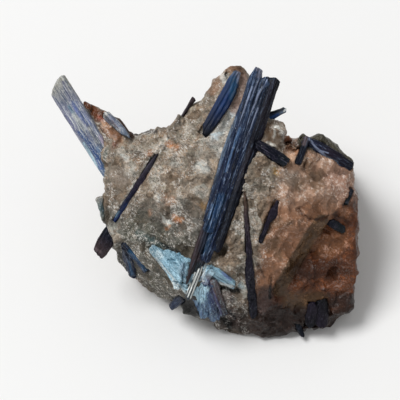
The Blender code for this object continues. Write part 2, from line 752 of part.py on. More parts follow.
BLADES = (
    (left_pale_blade, LAVENDER_GREY),
    (spur_blade, LAVENDER_GREY),
    (slanting_blade, PURPLE_BLACK),
    (upper_blade, NAVY),
    (main_bundle, NAVY),
    (small_tip_blade, NAVY),
    (cross_blade, GREEN_BLACK),
    (right_top_blades, NAVY),
    (right_middle_blade, PURPLE_BLACK),
    (long_narrow_blade, PURPLE_BLACK),
    (right_black_blade, GREEN_BLACK),
    (right_edge_blade, GREEN_BLACK),
    (lower_left_blades, NAVY),
    (pale_plate, PALE_BLUE),
    (foot_fan, PALE_BLUE),
    (bottom_stub_blade, NAVY),
    (bottom_tip_blade, GREEN_BLACK),
    (bottom_right_bundle, PURPLE_BLACK),
    (left_edge_blade, LAVENDER_GREY),
    (back_left_blade, NAVY),
    (back_middle_blade, NAVY),
    (back_right_blade, PURPLE_BLACK),
)


def to_metres(thing):
    """Turns the object's mesh from millimetres to metres."""
    thing.data.transform(Matrix.Scale(MM, 4))


def set_down(specimen, things):
    """Moves the specimen so that the middle of its base lies at the world's origin."""
    bpy.context.view_layer.update()
    corners = [
        np.array([thing.matrix_world @ vertex.co for vertex in thing.data.vertices])
        for thing in things
    ]
    low = np.min([points.min(axis=0) for points in corners], axis=0)
    high = np.max([points.max(axis=0) for points in corners], axis=0)
    middle = (low + high) / 2.0
    specimen.location = (-middle[0], -middle[1], -low[2])


def main():
    for thing in list(bpy.data.objects):
        bpy.data.objects.remove(thing, do_unlink=True)
    specimen = bpy.data.objects.new("specimen", None)
    bpy.context.scene.collection.objects.link(specimen)
    specimen.rotation_euler = (FACE_LEAN, 0.0, 0.0)

    lump = make_lump()
    ground = Ground(lump.data)
    blades = {grow.__name__: grow(ground) for grow, colour in BLADES}
    cut_sockets(lump, blades)
    to_metres(lump)
    lump.data.materials.clear()
    lump.data.materials.append(make_material("quartz", QUARTZ_GREY, 0.6))
    lump.parent = specimen

    things = [lump]
    for grow, colour in BLADES:
        name = grow.__name__
        surface = make_material(name + "_surface", colour, 0.35)
        blade, home = make_blade(name, blades[name], surface)
        to_metres(blade)
        blade.parent = specimen
        home.translation *= MM
        blade.matrix_local = home
        things.append(blade)
    set_down(specimen, things)


main()
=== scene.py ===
"""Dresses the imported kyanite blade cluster: rough rust-stained quartz, striated blades, stage.

Tables give millimetres in the layout frame: x to the right and y up along the show face, z out
of it. A sighted position is where a layout point is seen from VIEW_DISTANCE in front of the face.
"""

import math
from itertools import product

import bmesh
import bpy
import numpy as np
from bpy.props import FloatProperty, FloatVectorProperty, IntProperty, PointerProperty
from mathutils import Matrix, Vector
from mathutils.bvhtree import BVHTree


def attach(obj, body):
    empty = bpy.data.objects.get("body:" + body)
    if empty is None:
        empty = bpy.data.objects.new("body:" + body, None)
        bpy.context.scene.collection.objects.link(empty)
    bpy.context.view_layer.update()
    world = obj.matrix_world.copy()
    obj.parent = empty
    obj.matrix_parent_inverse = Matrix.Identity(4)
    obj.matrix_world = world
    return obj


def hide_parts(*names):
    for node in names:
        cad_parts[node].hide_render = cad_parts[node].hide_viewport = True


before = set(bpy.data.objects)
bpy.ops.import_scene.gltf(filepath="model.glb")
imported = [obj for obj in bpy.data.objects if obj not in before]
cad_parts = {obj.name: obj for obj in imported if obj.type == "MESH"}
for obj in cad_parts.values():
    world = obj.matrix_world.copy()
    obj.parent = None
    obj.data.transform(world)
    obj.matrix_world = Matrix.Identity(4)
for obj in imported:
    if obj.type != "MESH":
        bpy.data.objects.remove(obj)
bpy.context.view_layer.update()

bl_info = {
    "name": "Kyanite blade cluster",
    "version": (1, 0, 0),
    "blender": (4, 5, 0),
    "location": "View3D > Sidebar > Kyanite",
    "description": "Dresses a packed kyanite and quartz specimen and sets its stage",
    "category": "Object",
}

MM = 0.001
VIEW_DISTANCE = 800.0
FACE_LEAN = math.radians(30.0)
# The layout's origin in the room, in metres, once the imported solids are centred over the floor.
SPECIMEN_PLACE = Vector((-0.002684, -0.000523, 0.035))
LAYOUT = Matrix.Translation(SPECIMEN_PLACE) @ Matrix.Rotation(FACE_LEAN, 4, "X")
LAYOUT_TURN = np.array(LAYOUT.to_3x3())
LAYOUT_ORIGIN = np.array(SPECIMEN_PLACE)
# What comes this near to the floor lies flat on it.
BASE_CLING = 0.35

ROCK_SEED = 11
BLADE_SEED = 50
CRISP_ANGLE = math.radians(28.0)
COORDINATE = {"FLOAT_COLOR": "color", "FLOAT_VECTOR": "vector", "FLOAT": "value"}

# How far most of the quartz stands out from its solid, before its relief.
ROCK_SWELL = 0.14
FRACTURE_TILT = 1.3
BEND_SIZE = 3.0
BEND_REACH = 1.4
# How far the borders of the quartz's regions stray.
REGION_WANDER = 3.5
BAND_WANDER = 0.6
DEPTH_WANDER = 22.0
# The lumps of crust sit on the surface that is seen this far below them.
LUMP_FOOT = 2.5
LUMP_SINK = 1.0
LUMP_HALF_DEPTH = 2.0
# The flecks and filaments of the quartz run along the slanting blade.
SCRATCH_TURN = Matrix.Rotation(math.radians(-38.0), 3, "Z") @ Matrix.Rotation(0.3, 3, "X")
FACE_SCALE = 0.19
# Scales of the noises that the quartz's filaments are drawn with, and how wide the lines are.
FILAMENTS = ((0.4, 0.03), (0.8, 0.046))
# The same for the cracks of the plate.
CRACKS = ((0.22, 0.012), (0.5, 0.02))

MAIN_VOXEL = 0.28
BLADE_VOXEL = 0.22
FOOT_VOXEL = 0.24
DRAPE_STEP = 0.3
DRAPE_SINK = 1.0
# Sizes of the blades' ribs: across, through and along a blade.
SLAB_SIZE = (2.3, 2.3, 45.0)
RIB_SIZE = (1.0, 1.0, 20.0)
HAIR_SIZE = (0.5, 0.5, 8.0)
NICK_SIZE = (1.7, 1.7, 3.4)
# Keeps the ribs of one strand from going on in the next one.
STRAND_STEP = 17.0
# How deep a stretch that quartz has grown over lies, and how far its cover reaches beyond it.
HIDDEN_SINK = 0.8
COVER_SIDE = 0.5
COVER_FRONT = 0.2

FLOOR_REACH = 3.0
FLOOR_ROUGHNESS = 0.9
FLOOR_WARMTH = 0.985
KEY_SIZE = 2.4
# In metres from the layout's origin, in its directions.
KEY_PLACE = Vector((-2.2, 2.5, 3.4))
LENS = 180.0
SENSOR_WIDTH = 36.0

# Sockets of the Mix node for colours, which shares their names with other kinds of mix.
MIX_FACTOR = 0
MIX_FIRST = 6
MIX_SECOND = 7
MIX_RESULT = 2


def paint(red, green, blue):
    """A linear colour from display values of 0 to 255."""
    return tuple((value / 255.0) ** 2.2 for value in (red, green, blue))


TAUPE = paint(140, 125, 109)
SMOOTH_GREY = paint(120, 108, 96)
# Grey laid on the lower left of the show face as painted shade.
DIM_GREY = paint(95, 92, 87)
WARM_BROWN = paint(140, 99, 73)
SUGAR_GREY = paint(164, 157, 147)
SUGAR_WHITE = paint(216, 215, 209)
COOL_WHITE = paint(200, 208, 212)
STONE_GREY = paint(126, 120, 110)
# Dark green-grey, laid as painted shade on the quartz's lower left flank, which turns down away from
# the lamp.
SHADE_GREEN = paint(82, 79, 68)
DUST_BROWN = paint(100, 80, 62)
PINK_BROWN = paint(163, 129, 107)
PINK_PALE = paint(152, 126, 114)
PINK_SMOOTH = paint(140, 108, 92)
PEACH = paint(208, 168, 138)
RUST_PALE = paint(142, 96, 66)
RUST_BROWN = paint(88, 52, 32)
RED_RUST = paint(124, 60, 40)
DARK_RUST = paint(50, 28, 18)
KNOB_BROWN = paint(120, 92, 70)
OCHRE = paint(150, 114, 58)
ORANGE = paint(160, 106, 66)
# Dark brown: painted shade on the step band, and also laid on the smooth brown flats.
BAND_BROWN = paint(78, 60, 42)
# Laid towards the bottom as painted shade of the underside.
BOTTOM_BROWN = paint(38, 29, 26)
PURPLE_BROWN = paint(70, 55, 52)
LAVENDER_BROWN = paint(98, 85, 87)
# Near-black: the crust's own colour, and painted shade in cracks, hollows and along the lower edge.
DARK_CRUST_AND_SHADE = paint(40, 28, 24)
OLIVE = paint(52, 54, 46)
TEAL_GREY = paint(72, 92, 92)
GREEN_BLACK = paint(26, 34, 36)
PITCH = paint(14, 16, 18)
WALL_GREY = paint(124, 110, 98)

NAVY = paint(20, 32, 56)
INK = paint(12, 16, 28)
PLUM = paint(32, 26, 38)
UMBER = paint(58, 48, 50)
ASH_BLACK = paint(52, 50, 58)
STEEL = paint(42, 58, 84)
STEEL_BLUE = paint(72, 100, 136)
ROYAL = paint(16, 42, 80)
ASH_VIOLET = paint(90, 86, 102)
COBALT = paint(40, 58, 104)
DEEP_BLUE = paint(48, 80, 136)
TEAL = paint(36, 80, 112)
SLATE = paint(76, 90, 112)
INDIGO = paint(84, 84, 118)
CORN_BLUE = paint(96, 112, 166)
PLUM_BLUE = paint(68, 66, 104)
LAVENDER = paint(126, 129, 148)
ROSE_GREY = paint(150, 132, 148)
ASH_BLUE = paint(140, 150, 176)
ASH_GREY = paint(104, 118, 134)
SHADOW_BLUE = paint(70, 110, 130)
SKY = paint(138, 174, 192)
SKY_DEEP = paint(84, 124, 150)
ICE = paint(178, 210, 224)
CREAM = paint(164, 162, 152)
BONE = paint(222, 226, 222)


class Mark:
    """A stroke or patch of colour along sighted points.

    radius and depth are in millimetres. A mark with a depth is a hollow too, or stands out where
    the depth is below 0. strength is how well the mark covers, and grit is how gritty the quartz
    under it becomes, from 0 to 1.
    """

    def __init__(self, points, radius, colour=None, strength=0.8, grit=None, depth=0.0):
        self.points = np.array(points)
        self.radius = radius
        self.colour = colour
        self.strength = strength
        self.grit = grit
        self.depth = depth

    def cover(self, spots, soft=0.5):
        """How far the mark covers each sighted position, from 0 to 1."""
        away = np.hypot(*(spots - self.points[0]).T)
        for start, end in zip(self.points[:-1], self.points[1:]):
            run = end - start
            part = np.clip((spots - start) @ run / (run @ run), 0.0, 1.0)
            away = np.minimum(away, np.hypot(*(spots - start - part[:, None] * run).T))
        return ease(away, self.radius * (1.0 + soft), self.radius * (1.0 - soft))


class RockSettings(bpy.types.PropertyGroup):
    """Sizes and colours of the quartz."""

    voxel: FloatProperty(
        name="Mesh grain", description="Size of the even faces the lump is broken up into",
        default=0.42 * MM, min=0.3 * MM, max=2.0 * MM, unit="LENGTH", precision=5,
    )
    triangles: IntProperty(
        name="Triangles", description="Most triangles that the finished lump keeps",
        default=192000, min=20000, max=199000,
    )
    grain: FloatProperty(
        name="Grain size", description="Size of the quartz grains that stand out of the lump",
        default=1.5 * MM, min=0.5 * MM, max=5.0 * MM, unit="LENGTH", precision=5,
    )
    fleck: FloatVectorProperty(
        name="Flecks", description="Colour of the pale flecks in the quartz",
        default=paint(224, 221, 214), size=3, subtype="COLOR", min=0.0, max=1.0,
    )
    pit: FloatVectorProperty(
        name="Pits", description="Colour of the dark specks and pits in the quartz",
        default=paint(48, 40, 34), size=3, subtype="COLOR", min=0.0, max=1.0,
    )


class BladeSettings(bpy.types.PropertyGroup):
    """Sizes and colours of the kyanite."""

    growth: FloatProperty(
        name="Growth", description="How far the blades are swelled so that they touch the quartz",
        default=0.22 * MM, min=0.0, max=0.4 * MM, unit="LENGTH", precision=5,
    )
    rib: FloatProperty(
        name="Rib depth", description="Height of the ribs that run along the blades",
        default=0.45 * MM, min=0.0, max=2.0 * MM, unit="LENGTH", precision=5,
    )
    splinter: FloatProperty(
        name="Splinter length", description="How unevenly the blades' ends are broken off",
        default=1.6 * MM, min=0.0, max=4.0 * MM, unit="LENGTH", precision=5,
    )
    streak: FloatVectorProperty(
        name="Streaks", description="Colour of the thin pale streaks along the dark blades",
        default=paint(136, 156, 186), size=3, subtype="COLOR", min=0.0, max=1.0,
    )


class StageSettings(bpy.types.PropertyGroup):
    """The floor and the lights."""

    floor: FloatVectorProperty(
        name="Floor", description="Colour of the plain floor",
        default=(0.87, 0.87, 0.87), size=3, subtype="COLOR", min=0.0, max=1.0,
    )
    key_power: FloatProperty(
        name="Key light", description="Power of the large lamp at the upper left",
        default=178.0, min=0.0, unit="POWER",
    )
    sky_strength: FloatProperty(
        name="Sky", description="Strength of the even light from all round",
        default=0.42, min=0.0, max=5.0, subtype="FACTOR",
    )


def to_layout(points):
    """Layout millimetres of points given in metres in the room."""
    return (points - LAYOUT_ORIGIN) @ LAYOUT_TURN / MM


def to_room(points):
    """Room metres of points given in layout millimetres."""
    return points * MM @ LAYOUT_TURN.T + LAYOUT_ORIGIN


def sighted(points):
    """Where layout points are seen from the front, as two columns of millimetres."""
    nearer = VIEW_DISTANCE / (VIEW_DISTANCE - points[:, 2])
    return points[:, :2] * nearer[:, None]


def scramble(cells, seed):
    """Repeatable random numbers from 0 to 1, one for each row of whole numbers."""
    mixed = cells[:, 0] * 73856093 ^ cells[:, 1] * 19349663 ^ cells[:, 2] * 83492791
    mixed = (mixed ^ seed * 2971215073) * 668265263
    mixed = (mixed ^ mixed >> 15) * 2246822519
    mixed = mixed ^ mixed >> 13
    return (mixed & 0xFFFFFF) / float(0x1000000)


def soft_noise(points, size, seed):
    """Smooth random values from 0 to 1 over cells of the given size."""
    spot = points / size
    home = np.floor(spot).astype(np.int64)
    part = spot - home
    part = part * part * (3.0 - 2.0 * part)
    total = np.zeros(len(points))
    for corner in product((0, 1), repeat=3):
        weight = np.prod(np.where(corner, part, 1.0 - part), axis=1)
        total += weight * scramble(home + np.array(corner), seed)
    return total


def rough_noise(points, size, seed, octaves=3):
    """Soft noise with finer and fainter layers on it, from 0 to 1."""
    total = np.zeros(len(points))
    reach = 0.0
    for octave in range(octaves):
        strength = 0.5 ** octave
        total += strength * soft_noise(points, size * strength, seed + octave)
        reach += strength
    return total / reach


def nearest_cell(points, seed):
    """The jittered cell centre nearest to each point, and three random numbers of that cell."""
    home = np.floor(points).astype(np.int64)
    least = np.full(len(points), np.inf)
    centre = np.zeros_like(points)
    owner = np.zeros_like(home)
    for step in product((-1, 0, 1), repeat=3):
        cell = home + np.array(step)
        spot = cell + np.stack([scramble(cell, seed + k) for k in range(3)], axis=1)
        away = ((points - spot) ** 2).sum(axis=1)
        closer = away < least
        least[closer] = away[closer]
        centre[closer] = spot[closer]
        owner[closer] = cell[closer]
    lots = np.stack([scramble(owner, seed + 3 + k) for k in range(3)], axis=1)
    return centre, lots


def facets(points, size, seed, tilt=1.0, step=0.5):
    """Heights of tilted flat grains, from about -0.5 to 0.5. size is one number or three."""
    spot = points / size
    centre, lots = nearest_cell(spot, seed)
    lean = ((spot - centre) * (lots - 0.5)).sum(axis=1)
    return tilt * lean + step * (lots[:, 0] - 0.5)


def fractures(points, size, seed):
    """Heights of hollow tilted faces that meet in sharp ridges, from about -0.5 to 0.5."""
    spot = points / size
    home = np.floor(spot).astype(np.int64)
    least = np.full(len(points), np.inf)
    for step in product((-1, 0, 1), repeat=3):
        cell = home + np.array(step)
        centre = cell + np.stack([scramble(cell, seed + k) for k in range(3)], axis=1)
        lots = np.stack([scramble(cell, seed + 3 + k) for k in range(3)], axis=1)
        away = spot - centre
        height = 0.5 * (away ** 2).sum(axis=1) + FRACTURE_TILT * (away * (lots - 0.5)).sum(axis=1)
        least = np.minimum(least, height)
    return 2.0 * least


def ease(values, low, high):
    """0 below low, 1 above high and a smooth rise between. high may lie below low."""
    part = np.clip((values - low) / (high - low), 0.0, 1.0)
    return part * part * (3.0 - 2.0 * part)


def beside(spots, line):
    """Distance of sighted positions from a line, positive to the right of its direction."""
    start, end = line
    run = Vector((end[0] - start[0], end[1] - start[1])).normalized()
    return (spots[:, 0] - start[0]) * run.y - (spots[:, 1] - start[1]) * run.x


def blend(colours, colour, mask):
    """Colours moved towards one colour by the mask."""
    return colours + (np.array(colour) - colours) * mask[:, None]


def new_object(name, data):
    """An object for a mesh, a lamp or a camera, linked to the scene."""
    made = bpy.data.objects.new(name, data)
    bpy.context.scene.collection.objects.link(made)
    return made


def apply_modifiers(thing):
    """Puts the mesh with its modifiers in place of the object's own mesh."""
    bpy.context.view_layer.update()
    seen = thing.evaluated_get(bpy.context.evaluated_depsgraph_get())
    finished = bpy.data.meshes.new_from_object(seen)
    thing.modifiers.clear()
    before = thing.data
    thing.data = finished
    bpy.data.meshes.remove(before)


def even_copy(node, name, voxel, additions=()):
    """A copy of a CAD node joined with closed layout shapes, in even faces of voxel metres."""
    joined = bmesh.new()
    joined.from_mesh(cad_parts[node].data)
    for points, faces in additions:
        corners = [joined.verts.new(corner) for corner in to_room(np.array(points))]
        for face in faces:
            joined.faces.new([corners[index] for index in face])
    piece = new_object(name, bpy.data.meshes.new(name))
    joined.to_mesh(piece.data)
    joined.free()
    remesh = piece.modifiers.new("even", "REMESH")
    remesh.mode = "VOXEL"
    remesh.voxel_size = voxel
    apply_modifiers(piece)
    return piece


BOX_FACES = ((0, 1, 3, 2), (4, 6, 7, 5), (0, 4, 5, 1), (2, 3, 7, 6), (0, 2, 6, 4), (1, 5, 7, 3))


def box(centre, axes, halves):
    """A closed box about a layout point, with its sides along the columns of axes."""
    signs = product((-1, 1), repeat=3)
    corners = [np.array(centre) + axes @ (np.array(sign) * halves) for sign in signs]
    return corners, BOX_FACES


class Sight:
    """Looks from the front at some of the CAD nodes, or measures how near they are."""

    def __init__(self, *nodes):
        joined = bmesh.new()
        for node in nodes:
            joined.from_mesh(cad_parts[node].data)
        self.tree = BVHTree.FromBMesh(joined)
        joined.free()

    def meets(self, x, y):
        """The layout point that is seen at a sighted position, or None."""
        eye = np.array([0.0, 0.0, VIEW_DISTANCE])
        line = np.array([x, y, -VIEW_DISTANCE])
        start = Vector(to_room(eye))
        aim = Vector(line @ LAYOUT_TURN.T).normalized()
        hit = self.tree.ray_cast(start, aim)[0]
        return None if hit is None else to_layout(np.array(hit))

    def distances(self, mesh):
        """How far each vertex is from the nodes, in millimetres."""
        return np.array([self.tree.find_nearest(vertex.co)[3] for vertex in mesh.vertices]) / MM


def within(outline, x, y):
    """Whether a position is inside an outline."""
    inside = False
    for (x0, y0), (x1, y1) in zip(outline, outline[1:] + outline[:1]):
        if (y0 > y) != (y1 > y) and x < x0 + (y - y0) * (x1 - x0) / (y1 - y0):
            inside = not inside
    return inside


def draped(outline, sight, rise):
    """A closed sheet over the surface that is seen inside an outline of sighted positions."""
    low = np.min(outline, axis=0)
    counts = np.ceil((np.max(outline, axis=0) - low) / DRAPE_STEP).astype(int) + 1
    corner = {}
    points = []
    for i, j in product(range(counts[0]), range(counts[1])):
        x, y = low + DRAPE_STEP * np.array([i, j])
        place = sight.meets(x, y) if within(outline, x, y) else None
        if place is not None:
            towards = np.array([-x, -y, VIEW_DISTANCE]) / VIEW_DISTANCE
            corner[i, j] = len(points)
            points += [place + rise * towards, place - DRAPE_SINK * towards]
    faces = []
    edges = set()
    for i, j in corner:
        ring = [(i, j), (i + 1, j), (i + 1, j + 1), (i, j + 1)]
        if all(spot in corner for spot in ring):
            top = [corner[spot] for spot in ring]
            faces.append(top)
            faces.append([index + 1 for index in reversed(top)])
            edges.update(zip(top, top[1:] + top[:1]))
    for start, end in edges:
        if (end, start) not in edges:
            faces.append((end, start, start + 1, end + 1))
    return points, faces


def read(mesh, field):
    """A field of all vertices as rows of three numbers."""
    values = np.zeros(len(mesh.vertices) * 3)
    mesh.vertices.foreach_get(field, values)
    return values.reshape(-1, 3)


def points_and_normals(mesh):
    """Layout points and normals of all vertices."""
    return to_layout(read(mesh, "co")), read(mesh, "normal") @ LAYOUT_TURN


def write_points(mesh, points):
    """Moves the vertices to room points. What hardly clears the base lies flat on it."""
    points = points.copy()
    low = points[:, 2] < BASE_CLING * MM
    points[low, 2] = 0.0
    mesh.vertices.foreach_set("co", points.ravel())
    mesh.update()


def thin_out(piece, most):
    """Merges the piece's flattest faces until it has at most so many triangles."""
    thin = piece.modifiers.new("thin", "DECIMATE")
    thin.ratio = min(1.0, most / (2.0 * len(piece.data.polygons)))
    apply_modifiers(piece)
    write_points(piece.data, read(piece.data, "co"))


def give(mesh, name, kind, values):
    """Stores one value for each vertex under a name that materials can read."""
    if kind == "FLOAT_COLOR":
        values = np.column_stack([values, np.ones(len(values))])
    attribute = mesh.attributes.new(name, kind, "POINT")
    attribute.data.foreach_set(COORDINATE[kind], values.ravel())


def seat_piece(piece, nodes, material):
    """Finishes a piece: its edges, its material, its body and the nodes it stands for."""
    piece.data.shade_smooth()
    piece.data.set_sharp_from_angle(angle=CRISP_ANGLE)
    piece.data.materials.clear()
    piece.data.materials.append(material)
    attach(piece, "root")
    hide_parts(*nodes)


class Finish:
    """A Principled material with short ways to add its texture nodes."""

    def __init__(self, name, roughness, shine=0.5):
        self.material = bpy.data.materials.new(name)
        self.material.use_nodes = True
        self.tree = self.material.node_tree
        self.surface = self.tree.nodes["Principled BSDF"]
        self.surface.inputs["Roughness"].default_value = roughness
        self.surface.inputs["Specular IOR Level"].default_value = shine

    def put(self, socket, value):
        """Links a socket's value or sets a plain one."""
        if isinstance(value, bpy.types.NodeSocket):
            self.tree.links.new(value, socket)
        elif isinstance(value, tuple) and socket.type == "RGBA":
            socket.default_value = (*value, 1.0)
        else:
            socket.default_value = value

    def add(self, kind, inputs, **settings):
        """A node with its settings and its inputs by name or number."""
        made = self.tree.nodes.new(kind)
        for name, value in settings.items():
            setattr(made, name, value)
        for key, value in inputs.items():
            self.put(made.inputs[key], value)
        return made

    def vector_math(self, operation, *values):
        """A node that works on vectors, with its inputs in order."""
        return self.add("ShaderNodeVectorMath", dict(enumerate(values)), operation=operation)

    def attribute(self, name, output):
        """A value that is stored in the mesh."""
        return self.add("ShaderNodeAttribute", {}, attribute_name=name).outputs[output]

    def millimetres(self):
        """The place on the object, in millimetres."""
        place = self.add("ShaderNodeTexCoord", {}).outputs["Object"]
        return self.stretch(place, (1.0 / MM, 1.0 / MM, 1.0 / MM))

    def stretch(self, vector, factors):
        """A vector or a colour with each of its parts times its own factor."""
        return self.vector_math("MULTIPLY", vector, factors).outputs["Vector"]

    def noise(self, vector, scale, detail=3.0, rough=0.6, bend=0.0):
        """Soft random values about 0.5."""
        inputs = {
            "Vector": vector, "Scale": scale, "Detail": detail, "Roughness": rough,
            "Distortion": bend,
        }
        return self.add("ShaderNodeTexNoise", inputs).outputs["Fac"]

    def warp(self, vector, scale, reach):
        """The vector moved by up to half of reach or so, which bends what is laid on it."""
        moved = self.add("ShaderNodeTexNoise", {"Vector": vector, "Scale": scale, "Detail": 2.0})
        offset = self.centred(moved.outputs["Color"])
        return self.vector_math("MULTIPLY_ADD", offset, (reach, reach, reach), vector).outputs[0]

    def centred(self, colour):
        """A random colour's parts, from -0.5 to 0.5."""
        return self.vector_math("SUBTRACT", colour, (0.5, 0.5, 0.5)).outputs[0]

    def span(self, value, low, high, to_low=0.0, to_high=1.0):
        """The value read between low and high, clamped, as to_low to to_high."""
        inputs = {0: value, 1: low, 2: high, 3: to_low, 4: to_high}
        return self.add("ShaderNodeMapRange", inputs).outputs["Result"]

    def times(self, first, second):
        """One value times another."""
        return self.add("ShaderNodeMath", {0: first, 1: second}, operation="MULTIPLY").outputs[0]

    def plus(self, first, second):
        """The sum of two values."""
        return self.add("ShaderNodeMath", {0: first, 1: second}, operation="ADD").outputs[0]

    def grey(self, colour):
        """How light the colour is."""
        return self.add("ShaderNodeRGBToBW", {"Color": colour}).outputs["Val"]

    def near(self, value, middle, reach):
        """1 where the value is within reach of the middle, which draws thin bent lines."""
        inputs = {0: value, 1: middle, 2: reach}
        return self.add("ShaderNodeMath", inputs, operation="COMPARE").outputs[0]

    def mix(self, factor, first, second):
        """The first colour moved towards the second one by the factor."""
        inputs = {MIX_FACTOR: factor, MIX_FIRST: first, MIX_SECOND: second}
        made = self.add("ShaderNodeMix", {}, data_type="RGBA")
        for key, value in inputs.items():
            self.put(made.inputs[key], value)
        return made.outputs[MIX_RESULT]

    def lay(self, under, over, *masks):
        """One colour laid over another where all the masks are high."""
        factor = masks[0]
        for mask in masks[1:]:
            factor = self.times(factor, mask)
        return self.mix(factor, under, over)

    def brighten(self, colour, amount):
        """The colour times a number, which may vary over the surface."""
        inputs = {0: colour, "Scale": amount}
        return self.add("ShaderNodeVectorMath", inputs, operation="SCALE").outputs["Vector"]

    def grains(self, vector, scale):
        """Random shade of each small grain, and the height of its tilted face."""
        cell = self.add("ShaderNodeTexVoronoi", {"Vector": vector, "Scale": scale})
        spot = self.stretch(vector, (scale, scale, scale))
        place = self.stretch(cell.outputs["Position"], (scale, scale, scale))
        away = self.vector_math("SUBTRACT", spot, place).outputs[0]
        tilt = self.centred(cell.outputs["Color"])
        height = self.vector_math("DOT_PRODUCT", away, tilt).outputs["Value"]
        split = self.add("ShaderNodeSeparateColor", {"Color": cell.outputs["Color"]})
        return split.outputs["Red"], height

    def rims(self, vector, scale):
        """How far each place is from the edge of its grain, as a share of the grain's size."""
        inputs = {"Vector": vector, "Scale": scale}
        cell = self.add("ShaderNodeTexVoronoi", inputs, feature="DISTANCE_TO_EDGE")
        return cell.outputs["Distance"]

    def bump(self, height, depth):
        """Normals of a relief of depth millimetres."""
        inputs = {"Height": height, "Distance": depth * MM, "Strength": 1.0}
        return self.add("ShaderNodeBump", inputs).outputs["Normal"]

    def wear(self, colour, roughness, normal):
        """Joins the finished looks to the surface."""
        self.put(self.surface.inputs["Base Color"], colour)
        self.put(self.surface.inputs["Roughness"], roughness)
        self.put(self.surface.inputs["Normal"], normal)
        return self.material


